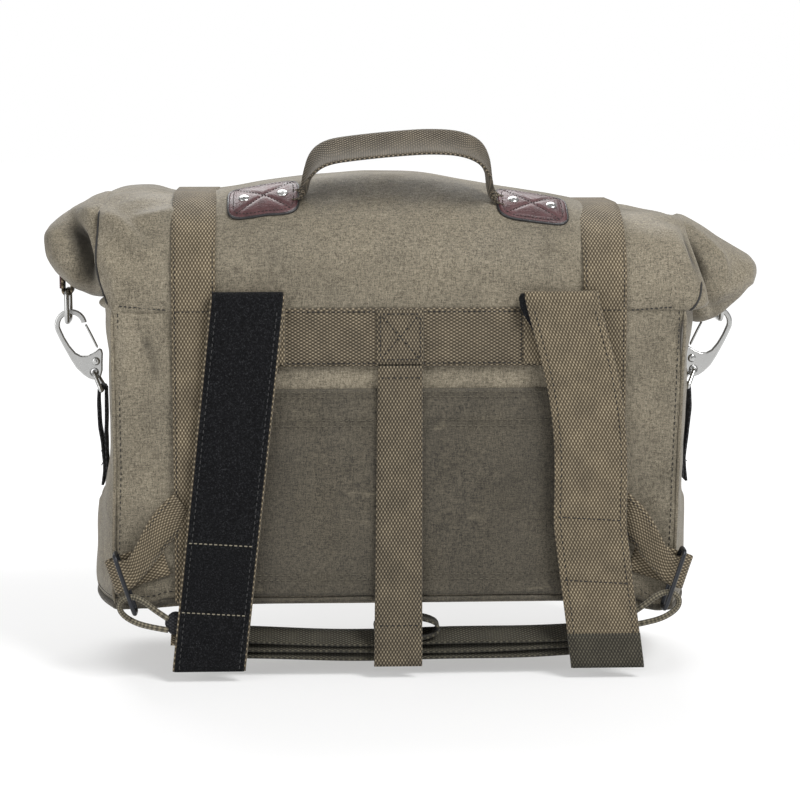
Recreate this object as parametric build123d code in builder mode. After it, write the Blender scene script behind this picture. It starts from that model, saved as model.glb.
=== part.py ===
"""Waxed-canvas roll-top motorcycle saddlebag with its yoke straps, tie strap and side snap hooks.

Frame, in millimetres: the origin is the centre of the webbing yoke band on the back panel's outer face,
+X runs along the band, +Y goes from the back panel to the front panel, and +Z is up.
"""

import os
from math import cos, radians, sin, tan

from build123d import *

# Bag body
HALF_W = 188.0  # half the width of the back and front panels
DEPTH = 150.0  # from the back panel's outer face to the front panel's
BULGE = 15.0  # how far each gusset bows out at mid depth
BASE_Z = -184.0  # underside of the base
SEAM_Z = 21.0  # seam between the boxed body and the roll-top sleeve
CANVAS = 2.0  # waxed canvas with its seam allowance
BOARD = 3.0  # stiffening boards
LINER = 1.0
MID_Y = DEPTH / 2

# Roll-top sleeve, seen from the side: straight up, round a quarter circle, flat to the roll
SHOULDER_R = 64.0
SHOULDER_Z = 36.0
CREST_Z = SHOULDER_Z + SHOULDER_R
ROLL_Y = 120.0
ROLL_Z = 72.0
ROLL_RY = 28.0
ROLL_RZ = 26.0
STIFFENER = (30.0, 1.6)

# Webbing
WEB = 1.8
BAND_W = 40.0
BAND_HALF = 124.0
CLOSURE_X = 139.0
CLOSURE_W = 30.0
BAR_GAP = 0.45  # play between a wire bar and the webbing folded round it
STRAP_END_Z = -227.0

# Wide yoke straps: webbing with hook or loop tape, folded over at the top
WIDE_W = 50.0
WIDE_WEB = 1.6
TAPE = 1.2
WIDE_T = WIDE_WEB + TAPE
FOLD_R = 4.7
FOLD_Y = -6.9
FOLD_Z = 27.0
TAIL_TOP_Z = 21.5
WIDE_TOP_X = {"left": -102.0, "right": 111.0}
WIDE_BOTTOM_X = {"left": -128.0, "right": 142.0}

# Centre yoke strap
CENTRE_W = 32.0
CENTRE_Y = -4.2
CENTRE_Z = -20.0

# Carry handle and its leather patches, set out by angle round the shoulder from the crest
HANDLE_ANGLE = 30.0
HANDLE_LIFT = 4.0  # hinge line above the canvas
HANDLE_HALF = 65.0
HANDLE_RISE = 50.0
HANDLE_W = 32.0
HANDLE_T = 2.5
PATCH_T = 2.0
PATCH_W = 46.0
PATCH_X = 92.0
PATCH_SPAN = 34.0  # degrees of the shoulder
RIVET_R = 3.6
RIVET_H = 1.6
RIVET_APART = 13.0  # each side of the patch's middle

# Wire goods
WIRE_R = 1.75
THIN_R = 1.5

# Tie rings and tabs at the bottom corners
TIE_TILT = 18.0  # the ring's long bars lean this far from upright
TIE_X = 187.0
TIE_Z = -166.0
TIE_RING = (43.0, 15.0)  # between the centre lines of its bars
TIE_TAB_W = 25.0
TIE_TAB_SHIFT = 7.0  # the tab sits above the middle of the ring
TIE_TAB_L = 29.0

# Tie strap below the bag
CORD_D = 4.0
TIE_WEB_W = 20.0
TIE_WEB_X = 138.0
SLEEVE_X = 161.0

# Side hooks
HOOK_T = 4.0
HOOK_TILT = 25.6
HOOK_FOOT = (211.3, -35.0)
SIDE_STRAP_W = 18.0
SIDE_STRAP_L = 67.0
RING_DROP = 22.0
RING_HALF = 12.75
CROOK_R = 9.5
CROOK_B = 40.0
SPINE = 4.0
EYE_B = 3.2
RING_BAR_B = 43.5

# Front buckles
CHAPE_T = 2.2
CHAPE_W = 26.0
CHAPE_L = 40.0
BUCKLE_Z = -4.0
BUCKLE_H = 38.0
BUCKLE_HALF = 15.75
BILLET_W = 22.0
BILLET_T = 2.0

SIDES = (("left", -1), ("right", 1))

os.makedirs("parts", exist_ok=True)


def write_piece(builder, label):
    """Names a finished piece and writes its STEP file."""
    builder.part.label = label
    export_step(builder.part, f"parts/{label}.step")


def shoulder_point(radius, angle):
    """A point in the YZ plane on the shoulder's circle, by its angle from the crest in degrees."""
    a = radians(angle)
    return (SHOULDER_R - radius * sin(a), SHOULDER_Z + radius * cos(a))


def folded_strap(plane, length, width, thick, bar_r, lift=0.2, sewn=True):
    """Webbing folded once round a bar: a flat back layer, and a front layer that slants back to it if sewn.

    The plane's X runs from the bar along the strap, its Y points away from the bag, and its normal is the bar.
    """
    turn = bar_r + BAR_GAP + thick / 2
    back = lift + thick / 2
    front = back + 2 * turn
    with BuildPart() as strap:
        with BuildSketch(plane):
            with BuildLine():
                Line((length, back), (0, back))
                ThreePointArc((0, back), (-turn, back + turn), (0, front))
                Line((0, front), (length - 2, back + thick + 0.05) if sewn else (length, front))
            trace(line_width=thick)
        extrude(amount=width / 2, both=True)
    return strap


def bar_height(thick, bar_r, lift=0.2):
    """How far the bar of a folded strap stands from the bag."""
    return lift + thick + BAR_GAP + bar_r


def wire_ring(plane, half_x, half_y, wire_r, corner):
    """A closed ring of round wire in the plane, by the half spans of its centre line."""
    with BuildPart() as ring:
        with BuildLine(plane) as path:
            FilletPolyline(
                (-half_x, -half_y),
                (half_x, -half_y),
                (half_x, half_y),
                (-half_x, half_y),
                radius=corner,
                close=True,
            )
        with BuildSketch(Plane(origin=path.line @ 0, z_dir=path.line % 0)):
            Circle(wire_r)
        sweep()
    return ring


def cord_tube(points, diameter):
    """A limp cord as straight runs joined by tangent arcs, each as large as its two runs allow."""
    knots = [Vector(*p) for p in points]
    runs = [knots[i + 1] - knots[i] for i in range(len(knots) - 1)]
    radii = []
    for before, after in zip(runs, runs[1:]):
        half_turn = radians(before.get_angle(after)) / 2
        radii.append(0.45 * min(before.length, after.length) / tan(half_turn))
    with BuildPart() as tube:
        with BuildLine() as route:
            FilletPolyline(*knots, radius=radii)
        with BuildSketch(Plane(origin=knots[0], z_dir=runs[0])):
            Circle(diameter / 2)
        sweep()
    print("cord radii", [round(r, 1) for r in radii], "length", round(route.wire().length, 1))
    return tube


# ---- Boxed body -------------------------------------------------------------------------------------

for label, y in (("back_panel", CANVAS / 2), ("front_panel", DEPTH - CANVAS / 2)):
    with BuildPart() as panel:
        with BuildSketch(Plane.XY.offset(BASE_Z)):
            with Locations((0, y)):
                Rectangle(2 * HALF_W, CANVAS)
        extrude(amount=SEAM_Z - BASE_Z)
    write_piece(panel, label)

for side, sign in SIDES:
    with BuildPart() as gusset:
        with BuildSketch(Plane.XY.offset(BASE_Z)):
            with BuildLine():
                outer = ThreePointArc(
                    (sign * HALF_W, CANVAS),
                    (sign * (HALF_W + BULGE), MID_Y),
                    (sign * HALF_W, DEPTH - CANVAS),
                )
                inner = ThreePointArc(
                    (sign * (HALF_W - CANVAS), CANVAS),
                    (sign * (HALF_W + BULGE - CANVAS), MID_Y),
                    (sign * (HALF_W - CANVAS), DEPTH - CANVAS),
                )
                Line(outer @ 0, inner @ 0)
                Line(outer @ 1, inner @ 1)
            make_face()
        extrude(amount=SEAM_Z - BASE_Z)
    write_piece(gusset, f"{side}_gusset")


def bowed_outline(half_w, bulge, y0, y1):
    """Draws the closed outline of the bag's floor: straight front and back, bowed ends."""
    with BuildLine() as outline:
        right = ThreePointArc((half_w, y0), (half_w + bulge, MID_Y), (half_w, y1))
        left = ThreePointArc((-half_w, y0), (-half_w - bulge, MID_Y), (-half_w, y1))
        Line(left @ 0, right @ 0)
        Line(left @ 1, right @ 1)
    make_face(outline.edges())


with BuildPart() as base_panel:
    with BuildSketch(Plane.XY.offset(BASE_Z)):
        bowed_outline(HALF_W - CANVAS, BULGE, CANVAS, DEPTH - CANVAS)
    extrude(amount=CANVAS)
write_piece(base_panel, "base_panel")

BOARD_MARGIN = 5.0
with BuildPart() as back_board:
    with BuildSketch(Plane.XY.offset(BASE_Z + CANVAS)):
        with Locations((0, CANVAS + BOARD / 2)):
            Rectangle(2 * (HALF_W - BOARD_MARGIN), BOARD)
    extrude(amount=SEAM_Z - BASE_Z - 2 * CANVAS)
write_piece(back_board, "back_board")

with BuildPart() as base_board:
    with BuildSketch(Plane.XY.offset(BASE_Z + CANVAS)):
        bowed_outline(HALF_W - BOARD_MARGIN, BULGE, CANVAS + BOARD, DEPTH - BOARD_MARGIN)
    extrude(amount=BOARD)
write_piece(base_board, "base_board")

LINER_Y0 = CANVAS + BOARD
LINER_Y1 = DEPTH - CANVAS
with BuildPart() as liner:
    with BuildSketch(Plane.XY.offset(BASE_Z + CANVAS + BOARD)):
        bowed_outline(HALF_W - BOARD_MARGIN, BULGE, LINER_Y0, LINER_Y1)
    extrude(amount=SEAM_Z - BASE_Z - CANVAS - BOARD)
    with BuildSketch(Plane.XY.offset(BASE_Z + CANVAS + BOARD + LINER)):
        bowed_outline(HALF_W - BOARD_MARGIN - LINER, BULGE, LINER_Y0 + LINER, LINER_Y1 - LINER)
    extrude(amount=SEAM_Z - BASE_Z, mode=Mode.SUBTRACT)
write_piece(liner, "liner")

# ---- Roll-top sleeve, roll and its ends -------------------------------------------------------------

with BuildPart() as upper_back:
    with BuildSketch(Plane.YZ):
        with BuildLine():
            mid_r = SHOULDER_R - CANVAS / 2
            Line((CANVAS / 2, SEAM_Z), shoulder_point(mid_r, 90))
            ThreePointArc(shoulder_point(mid_r, 90), shoulder_point(mid_r, 45), shoulder_point(mid_r, 0))
            Line(shoulder_point(mid_r, 0), (ROLL_Y, CREST_Z - CANVAS / 2))
        trace(line_width=CANVAS)
    extrude(amount=HALF_W, both=True)
write_piece(upper_back, "upper_back")

with BuildPart() as upper_front:
    with BuildSketch(Plane.XY.offset(SEAM_Z)):
        with Locations((0, DEPTH - CANVAS / 2)):
            Rectangle(2 * HALF_W, CANVAS)
    extrude(amount=ROLL_Z - SEAM_Z - CANVAS)
write_piece(upper_front, "upper_front")

with BuildPart() as rolled_mouth:
    with BuildSketch(Plane.YZ):
        with Locations((ROLL_Y, ROLL_Z)):
            Ellipse(ROLL_RY, ROLL_RZ)
            Rectangle(*STIFFENER, mode=Mode.SUBTRACT)
    extrude(amount=HALF_W, both=True)
write_piece(rolled_mouth, "rolled_mouth")

STIFFENER_HALF = 180.0
with BuildPart() as mouth_stiffener:
    with BuildSketch(Plane.YZ):
        with Locations((ROLL_Y, ROLL_Z)):
            Rectangle(STIFFENER[0] - 0.4, STIFFENER[1] - 0.4)
    extrude(amount=STIFFENER_HALF, both=True)
write_piece(mouth_stiffener, "mouth_stiffener")

# Each end of the roll droops as a tapered ear: sections by x, centre y and z, and half axes
EARS = {
    "left": ((188, 75, 60, 70, 38), (220, 78, 62, 54, 28), (250, 86, 60, 32, 13)),
    "right": ((188, 75, 60, 70, 38), (220, 78, 56, 54, 22), (250, 86, 47, 32, 11)),
}
for side, sign in SIDES:
    with BuildPart() as ear:
        for x, y, z, half_y, half_z in EARS[side]:
            with BuildSketch(Plane.YZ.offset(sign * x)):
                with Locations((y, z)):
                    Ellipse(half_y, half_z)
        loft()
    write_piece(ear, f"{side}_roll_end")

# ---- Back face: band, pocket, sewn strap ends, closure straps ---------------------------------------

with BuildPart() as yoke_band:
    with BuildSketch(Plane.XZ):
        Rectangle(2 * BAND_HALF, BAND_W)
    extrude(amount=WEB)
write_piece(yoke_band, "yoke_band")

POCKET_TOP_Z = -35.0
POCKET_BOTTOM_Z = -178.0
POCKET_T = 1.2
HEM = 12.0
with BuildPart() as rear_pocket:
    with BuildSketch(Plane.XZ):
        with Locations((0, (POCKET_TOP_Z + POCKET_BOTTOM_Z) / 2)):
            Rectangle(2 * (BAND_HALF - 3), POCKET_TOP_Z - POCKET_BOTTOM_Z)
    extrude(amount=POCKET_T)
    with BuildSketch(Plane.XZ):
        with Locations((0, POCKET_TOP_Z - HEM / 2)):
            Rectangle(2 * (BAND_HALF - 3), HEM)
    extrude(amount=POCKET_T + 0.6)
write_piece(rear_pocket, "rear_pocket")

# The sewn ends lie on the band: two wide tails and the boxed end of the centre strap
with BuildPart() as strap_ends:
    tail_y = -(FOLD_Y + FOLD_R - 0.3)
    with BuildSketch(Plane.XZ.offset(tail_y - 0.6)):
        for side, _ in SIDES:
            with Locations((WIDE_TOP_X[side], (TAIL_TOP_Z - BAND_W / 2) / 2)):
                Rectangle(WIDE_W, TAIL_TOP_Z + BAND_W / 2)
    extrude(amount=WIDE_T)
    with BuildSketch(Plane.XZ.offset(WEB)):
        with Locations((0, 1.5)):
            Rectangle(CENTRE_W, BAND_W - 3)
    extrude(amount=WEB)
write_piece(strap_ends, "strap_ends")

for side, sign in SIDES:
    with BuildPart() as closure_strap:
        with BuildSketch(Plane.YZ.offset(sign * CLOSURE_X)):
            with BuildLine():
                over_r = SHOULDER_R + WEB / 2
                front_r = DEPTH - ROLL_Y + WEB / 2
                front_z = CREST_Z + WEB / 2 - front_r
                turn = front_r * cos(radians(45))
                Line((-WEB / 2, BASE_Z), shoulder_point(over_r, 90))
                ThreePointArc(shoulder_point(over_r, 90), shoulder_point(over_r, 45), shoulder_point(over_r, 0))
                Line(shoulder_point(over_r, 0), (ROLL_Y, CREST_Z + WEB / 2))
                ThreePointArc(
                    (ROLL_Y, CREST_Z + WEB / 2),
                    (ROLL_Y + turn, front_z + turn),
                    (ROLL_Y + front_r, front_z),
                )
                Line((ROLL_Y + front_r, front_z), (ROLL_Y + front_r, 0))
            trace(line_width=WEB)
        extrude(amount=CLOSURE_W / 2, both=True)
    write_piece(closure_strap, f"{side}_closure_strap")

# ---- Wide yoke straps, which turn up about their folded tops ----------------------------------------


def wide_layer(side, y, thick, top_z):
    """One layer of a wide strap: it runs slightly outwards from its fold to its cut end."""
    slope = (WIDE_BOTTOM_X[side] - WIDE_TOP_X[side]) / (FOLD_Z - STRAP_END_Z)
    top_x = WIDE_TOP_X[side] + slope * (FOLD_Z - top_z)
    bottom_x = WIDE_BOTTOM_X[side]
    half = WIDE_W / 2
    with BuildPart() as layer:
        with BuildSketch(Plane.XZ.offset(-y)):
            with BuildLine():
                Polyline(
                    (top_x - half, top_z),
                    (top_x + half, top_z),
                    (bottom_x + half, STRAP_END_Z),
                    (bottom_x - half, STRAP_END_Z),
                    close=True,
                )
            make_face()
        extrude(amount=thick)
    return layer


FRONT_Y = FOLD_Y - FOLD_R  # outermost face of the hanging layers
TAPE_TOP_Z = FOLD_Z - FOLD_R - 0.4
WEB_START = {"left": FRONT_Y + WIDE_T, "right": FRONT_Y + WIDE_WEB}
TAPE_START = {"left": FRONT_Y + TAPE, "right": FRONT_Y + WIDE_T}
TAPE_NAME = {"left": "left_loop_tape", "right": "right_hook_tape"}

for side, _ in SIDES:
    hanging = wide_layer(side, WEB_START[side], WIDE_WEB, FOLD_Z)
    with BuildPart() as wide_strap:
        add(hanging.part)
        with BuildSketch(Plane.YZ.offset(WIDE_TOP_X[side] - WIDE_W / 2)):
            with Locations((FOLD_Y, FOLD_Z)):
                Circle(FOLD_R)
        extrude(amount=WIDE_W)
    write_piece(wide_strap, f"{side}_yoke_strap")
    tape = wide_layer(side, TAPE_START[side], TAPE, TAPE_TOP_Z)
    write_piece(tape, TAPE_NAME[side])

with BuildPart() as centre_yoke_strap:
    with BuildSketch(Plane.YZ.offset(-CENTRE_W / 2)):
        with Locations((CENTRE_Y, CENTRE_Z)):
            Circle(WEB / 2)
        with Locations((CENTRE_Y, (CENTRE_Z + STRAP_END_Z) / 2)):
            Rectangle(WEB, CENTRE_Z - STRAP_END_Z)
    extrude(amount=CENTRE_W)
write_piece(centre_yoke_strap, "centre_yoke_strap")

# ---- Carry handle, leather patches and rivets -------------------------------------------------------

hinge_y, hinge_z = shoulder_point(SHOULDER_R + HANDLE_LIFT, HANDLE_ANGLE)
lean = radians(HANDLE_ANGLE)
handle_plane = Plane(
    origin=(0, hinge_y, hinge_z), x_dir=(1, 0, 0), z_dir=(0, -cos(lean), -sin(lean))
)
with BuildPart() as carry_handle:
    with BuildSketch(handle_plane):
        with BuildLine():
            FilletPolyline(
                (-HANDLE_HALF, 0),
                (5 - HANDLE_HALF, HANDLE_RISE - 8),
                (0, HANDLE_RISE),
                (HANDLE_HALF - 5, HANDLE_RISE - 8),
                (HANDLE_HALF, 0),
                radius=[20, 100, 20],
            )
        trace(line_width=HANDLE_T)
    extrude(amount=HANDLE_W / 2, both=True)
    # The webbing gathers to a narrow root at each end
    with BuildSketch(Plane(origin=handle_plane.origin, x_dir=-handle_plane.z_dir, z_dir=(1, 0, 0))):
        with BuildLine():
            Polyline((-3, -1.5), (3, -1.5), (63, 58.5), (-63, 58.5), close=True)
        make_face()
    extrude(amount=HALF_W, both=True, mode=Mode.INTERSECT)
write_piece(carry_handle, "carry_handle")

for side, sign in SIDES:
    with BuildPart() as patch:
        with BuildSketch(Plane.YZ.offset(sign * PATCH_X)):
            with BuildLine():
                first = HANDLE_ANGLE - PATCH_SPAN / 2
                last = HANDLE_ANGLE + PATCH_SPAN / 2
                patch_r = SHOULDER_R + PATCH_T / 2 + 0.1
                ThreePointArc(*[shoulder_point(patch_r, a) for a in (first, HANDLE_ANGLE, last)])
            trace(line_width=PATCH_T)
        extrude(amount=PATCH_W / 2, both=True)
        fillet(patch.edges().filter_by(lambda e: abs(e.length - PATCH_T) < 0.01), 6)
    write_piece(patch, f"{side}_handle_patch")

with BuildPart() as handle_rivets:
    rivet_y, rivet_z = shoulder_point(SHOULDER_R + PATCH_T + 0.1, HANDLE_ANGLE)
    rivet_plane = Plane(origin=(0, rivet_y, rivet_z), x_dir=(1, 0, 0), z_dir=(0, -sin(lean), cos(lean)))
    with BuildSketch(rivet_plane):
        for _, sign in SIDES:
            with Locations((sign * (PATCH_X - RIVET_APART), 0), (sign * (PATCH_X + RIVET_APART), 0)):
                Circle(RIVET_R)
    extrude(amount=RIVET_H)
write_piece(handle_rivets, "handle_rivets")

# ---- Corner tabs, tie rings and the tie strap -------------------------------------------------------

TIE_BAR_Y = -bar_height(WEB, THIN_R)
tilt_cos = cos(radians(TIE_TILT))
tilt_sin = sin(radians(TIE_TILT))
TIE_FOOT_Y = TIE_BAR_Y - TIE_RING[1] / 2 - 0.8  # where the cord crosses the ring's lower bar


def tie_frame(sign, shift=0.0):
    """Plane on the back panel at a bottom corner: X runs inboard along the tab, Y is outwards."""
    along = (-sign * tilt_sin, 0, -tilt_cos)
    origin = (sign * TIE_X + along[0] * shift, 0, TIE_Z + along[2] * shift)
    return Plane(origin=origin, x_dir=(-sign * tilt_cos, 0, sign * tilt_sin), z_dir=tuple(-sign * a for a in along))


with BuildPart() as tie_tabs:
    for side, sign in SIDES:
        add(folded_strap(tie_frame(sign, -TIE_TAB_SHIFT), TIE_TAB_L, TIE_TAB_W, WEB, THIN_R).part)
write_piece(tie_tabs, "tie_tabs")

for side, sign in SIDES:
    along = Vector(-sign * tilt_sin, 0, -tilt_cos)
    centre = Vector(sign * TIE_X, TIE_BAR_Y - TIE_RING[1] / 2, TIE_Z)
    ring_plane = Plane(origin=centre, x_dir=along, z_dir=Vector(0, 1, 0).cross(along))
    tie_ring = wire_ring(ring_plane, TIE_RING[0] / 2, TIE_RING[1] / 2, THIN_R, 3.0)
    write_piece(tie_ring, f"{side}_tie_ring")

# Right-hand route; the left one is its mirror image
TIE_CORD = [
    (159.0, -3.5, -200.5),
    (169.5, -6.0, -198.0),
    (181.0, -11.0, -193.5),
    (190.5, TIE_FOOT_Y, -186.5),
    (191.5, TIE_FOOT_Y, -179.0),
    (184.0, TIE_FOOT_Y, -174.4),
    (175.5, TIE_FOOT_Y, -177.5),
    (168.0, -7.0, -185.5),
    (159.0, -3.5, -192.5),
]
for side, sign in SIDES:
    tie_cord = cord_tube([(sign * x, y, z) for x, y, z in TIE_CORD], CORD_D)
    write_piece(tie_cord, f"{side}_tie_cord")

SLEEVE_Y = (-6.0, 2.0)
SLEEVE_Z = (-205.0, -188.0)
for side, sign in SIDES:
    with BuildPart() as sleeve:
        with BuildSketch(Plane.YZ.offset(sign * TIE_WEB_X)):
            with Locations((sum(SLEEVE_Y) / 2, sum(SLEEVE_Z) / 2)):
                RectangleRounded(SLEEVE_Y[1] - SLEEVE_Y[0], SLEEVE_Z[1] - SLEEVE_Z[0], 3)
        extrude(amount=sign * (SLEEVE_X - TIE_WEB_X))
    write_piece(sleeve, f"{side}_cord_sleeve")

# Layers of the strap as arcs in the XZ plane: half span, end height, middle height
TIE_LAYERS = ((TIE_WEB_X - 0.5, -203.5, -216.0), (TIE_WEB_X - 0.5, -199.0, -211.5))
SLIDER_X = 5.0
LOOP_HALF = (23.0, 8.5)
LOOP_Z = -201.0
with BuildPart() as tie_strap:
    with BuildSketch(Plane.XZ.offset(-TIE_WEB_W)):
        for half, end_z, middle_z in TIE_LAYERS:
            with BuildLine() as layer_line:
                ThreePointArc((-half, end_z), (0, middle_z), (half, end_z))
            trace(line_width=WEB)
        with Locations((SLIDER_X, LOOP_Z)):
            SlotOverall(2 * LOOP_HALF[0], 2 * LOOP_HALF[1])
            SlotOverall(2 * (LOOP_HALF[0] - WEB), 2 * (LOOP_HALF[1] - WEB), mode=Mode.SUBTRACT)
    extrude(amount=TIE_WEB_W)
write_piece(tie_strap, "tie_strap")

SLIDER = (16.0, 2.4)
with BuildPart() as strap_slider:
    with BuildSketch(Plane.XZ.offset(-TIE_WEB_W - 2)):
        with Locations((SLIDER_X, LOOP_Z - 0.4)):
            RectangleRounded(*SLIDER, 1)
    extrude(amount=TIE_WEB_W + 4)
write_piece(strap_slider, "strap_slider")

# ---- Roll rings, snap hooks and side straps ---------------------------------------------------------


def hook_point(sign, a, b, y=MID_Y):
    """A point in a hook's own axes: a towards the bag, b up the hook from its foot."""
    t = radians(HOOK_TILT)
    x = HOOK_FOOT[0] - a * cos(t) + b * sin(t)
    z = HOOK_FOOT[1] + a * sin(t) + b * cos(t)
    return Vector(sign * x, y, z)


def hook_plane(sign):
    """Sketch plane of a hook: X towards the bag, Y up the hook."""
    across = hook_point(sign, 1, 0) - hook_point(sign, 0, 0)
    upward = hook_point(sign, 0, 1) - hook_point(sign, 0, 0)
    return Plane(origin=hook_point(sign, 0, 0), x_dir=across, z_dir=across.cross(upward))


RING_X = hook_point(1, 0, RING_BAR_B).X
RING_BOTTOM_Z = hook_point(1, 0, RING_BAR_B).Z
RING_TOP_Z = RING_BOTTOM_Z + RING_DROP
ROLL_TAB_W = 18.0
ROLL_TAB_L = 7.0
with BuildPart() as roll_tabs:
    for side, sign in SIDES:
        tab_x = RING_X - bar_height(WEB, WIRE_R)
        tab_plane = Plane(
            origin=(sign * tab_x, MID_Y, RING_TOP_Z), x_dir=(0, 0, 1), z_dir=(0, sign, 0)
        )
        add(folded_strap(tab_plane, ROLL_TAB_L, ROLL_TAB_W, WEB, WIRE_R, sewn=False).part)
write_piece(roll_tabs, "roll_tabs")

for side, sign in SIDES:
    ring_plane = Plane(
        origin=(sign * RING_X, MID_Y, (RING_TOP_Z + RING_BOTTOM_Z) / 2), x_dir=(0, 1, 0), z_dir=(1, 0, 0)
    )
    roll_ring = wire_ring(ring_plane, RING_HALF, RING_DROP / 2, WIRE_R, 3.2)
    write_piece(roll_ring, f"{side}_roll_ring")

NOSE_ANGLE = -18.0
GATE_A = CROOK_R
GATE_FOOT_B = 17.0
nose_b = CROOK_B + CROOK_R * sin(radians(NOSE_ANGLE))
for side, sign in SIDES:
    with BuildPart() as snap_hook:
        with BuildSketch(hook_plane(sign)):
            with BuildLine():
                Line((-CROOK_R, 13), (-CROOK_R, CROOK_B))
                CenterArc((0, CROOK_B), CROOK_R, 180, NOSE_ANGLE - 180)
            trace(line_width=SPINE)
            with BuildLine():
                Polyline((-11.5, 16.4), (11.5, 16.4), (4.5, 0), (-4.5, 0), close=True)
            make_face()
            with Locations((0, EYE_B)):
                Circle(THIN_R + 0.8, mode=Mode.SUBTRACT)
        extrude(amount=HOOK_T / 2, both=True)
    write_piece(snap_hook, f"{side}_snap_hook")
    with BuildPart() as hook_gate:
        with BuildSketch(hook_plane(sign)):
            with Locations((GATE_A, (GATE_FOOT_B + nose_b - 0.8) / 2)):
                SlotOverall(nose_b - GATE_FOOT_B - 0.8, 3.0, rotation=90)
        extrude(amount=HOOK_T / 2 - 0.4, both=True)
    write_piece(hook_gate, f"{side}_hook_gate")

LOOP_TOP_HALF = 6.0
LOOP_FOOT_HALF = 13.5
LOOP_FOOT_B = -10.0
with BuildPart() as hook_loops:
    for side, sign in SIDES:
        with BuildLine() as loop_path:
            FilletPolyline(
                hook_point(sign, 0, EYE_B, MID_Y - LOOP_TOP_HALF),
                hook_point(sign, 0, EYE_B, MID_Y + LOOP_TOP_HALF),
                hook_point(sign, 0, LOOP_FOOT_B, MID_Y + LOOP_FOOT_HALF),
                hook_point(sign, 0, LOOP_FOOT_B, MID_Y - LOOP_FOOT_HALF),
                radius=1.6,
                close=True,
            )
        with BuildSketch(Plane(origin=loop_path.line @ 0, z_dir=loop_path.line % 0)):
            Circle(THIN_R)
        sweep(path=loop_path.wire())
write_piece(hook_loops, "hook_loops")

loop_foot = hook_point(1, 0, LOOP_FOOT_B)
for side, sign in SIDES:
    strap_plane = Plane(
        origin=(sign * (loop_foot.X - bar_height(WEB, THIN_R)), MID_Y, loop_foot.Z),
        x_dir=(0, 0, -1),
        z_dir=(0, -sign, 0),
    )
    side_strap = folded_strap(strap_plane, SIDE_STRAP_L, SIDE_STRAP_W, WEB, THIN_R)
    write_piece(side_strap, f"{side}_side_strap")

# ---- Front: chapes, buckles, billets and keepers ----------------------------------------------------

CHAPE_LIFT = WEB + 0.2
BAR_Y = DEPTH + bar_height(CHAPE_T, WIRE_R, CHAPE_LIFT)
PRONG_SLOT_W = 6.0
with BuildPart() as buckle_chapes:
    for side, sign in SIDES:
        chape_plane = Plane(
            origin=(sign * CLOSURE_X, DEPTH, BUCKLE_Z), x_dir=(0, 0, 1), z_dir=(-1, 0, 0)
        )
        add(folded_strap(chape_plane, CHAPE_L, CHAPE_W, CHAPE_T, WIRE_R, CHAPE_LIFT).part)
    with Locations((-CLOSURE_X, BAR_Y, BUCKLE_Z), (CLOSURE_X, BAR_Y, BUCKLE_Z)):
        Box(PRONG_SLOT_W, 16, 16, mode=Mode.SUBTRACT)
write_piece(buckle_chapes, "buckle_chapes")

PRONG_R = 1.25
PRONG_FOOT = (BAR_Y + WIRE_R + PRONG_R + 0.4, BUCKLE_Z - BUCKLE_H - 1.5)
for side, sign in SIDES:
    frame_plane = Plane(
        origin=(sign * CLOSURE_X, BAR_Y, BUCKLE_Z - BUCKLE_H / 2), x_dir=(1, 0, 0), z_dir=(0, 1, 0)
    )
    buckle_frame = wire_ring(frame_plane, BUCKLE_HALF, BUCKLE_H / 2, WIRE_R, 2.6)
    write_piece(buckle_frame, f"{side}_buckle_frame")
    with BuildPart() as prong:
        with BuildSketch(Plane.YZ.offset(sign * CLOSURE_X)):
            with Locations((BAR_Y, BUCKLE_Z)):
                Circle(WIRE_R + 2.2)
            with BuildLine():
                Line((BAR_Y + 1.2, BUCKLE_Z - 2), PRONG_FOOT)
            trace(line_width=2 * PRONG_R)
            with Locations((BAR_Y, BUCKLE_Z)):
                Circle(WIRE_R + 0.35, mode=Mode.SUBTRACT)
        extrude(amount=1.8, both=True)
    write_piece(prong, f"{side}_buckle_prong")

BILLET_ROUTE = ((151.2, -122.0), (151.2, -50.0), (162.6, -10.0), (162.6, 3.0), (157.5, 64.0))
SLOT_Z = (-32.0, 1.0)
with BuildPart() as buckle_billets:
    for side, sign in SIDES:
        with BuildSketch(Plane.YZ.offset(sign * CLOSURE_X)):
            with BuildLine():
                FilletPolyline(*BILLET_ROUTE, radius=[20, 12, 20])
            trace(line_width=BILLET_T)
        extrude(amount=BILLET_W / 2, both=True)
    for side, sign in SIDES:
        with Locations((sign * CLOSURE_X, BAR_Y, sum(SLOT_Z) / 2)):
            Box(5, 30, SLOT_Z[1] - SLOT_Z[0], mode=Mode.SUBTRACT)
write_piece(buckle_billets, "buckle_billets")

KEEPER_Z = 48.0
KEEPER_H = 10.0
KEEPER_OUT = 13.0
with BuildPart() as strap_keepers:
    for side, sign in SIDES:
        with BuildSketch(Plane.XY.offset(KEEPER_Z)):
            with Locations((sign * CLOSURE_X, DEPTH + KEEPER_OUT / 2)):
                Rectangle(CLOSURE_W + 4.6, KEEPER_OUT)
            with Locations((sign * CLOSURE_X, DEPTH + KEEPER_OUT / 2 - CHAPE_T / 2)):
                Rectangle(CLOSURE_W + 0.6, KEEPER_OUT - CHAPE_T, mode=Mode.SUBTRACT)
        extrude(amount=KEEPER_H)
write_piece(strap_keepers, "strap_keepers")
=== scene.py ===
# %% [markdown]
# A motorcycle saddlebag is a stiffened canvas box with a soft roll-top sleeve sewn to it. Webbing runs round
# it and carries the load, and steel hooks at the sides hold the roll down.
# The CAD model fixes every size and joint. This file dresses it: cloth, webbing, leather and metal as meshes
# that sit where the CAD pieces are and ride on the same bodies.
# %% The frame
import math

import bpy
import numpy as np
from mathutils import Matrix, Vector, noise


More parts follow.
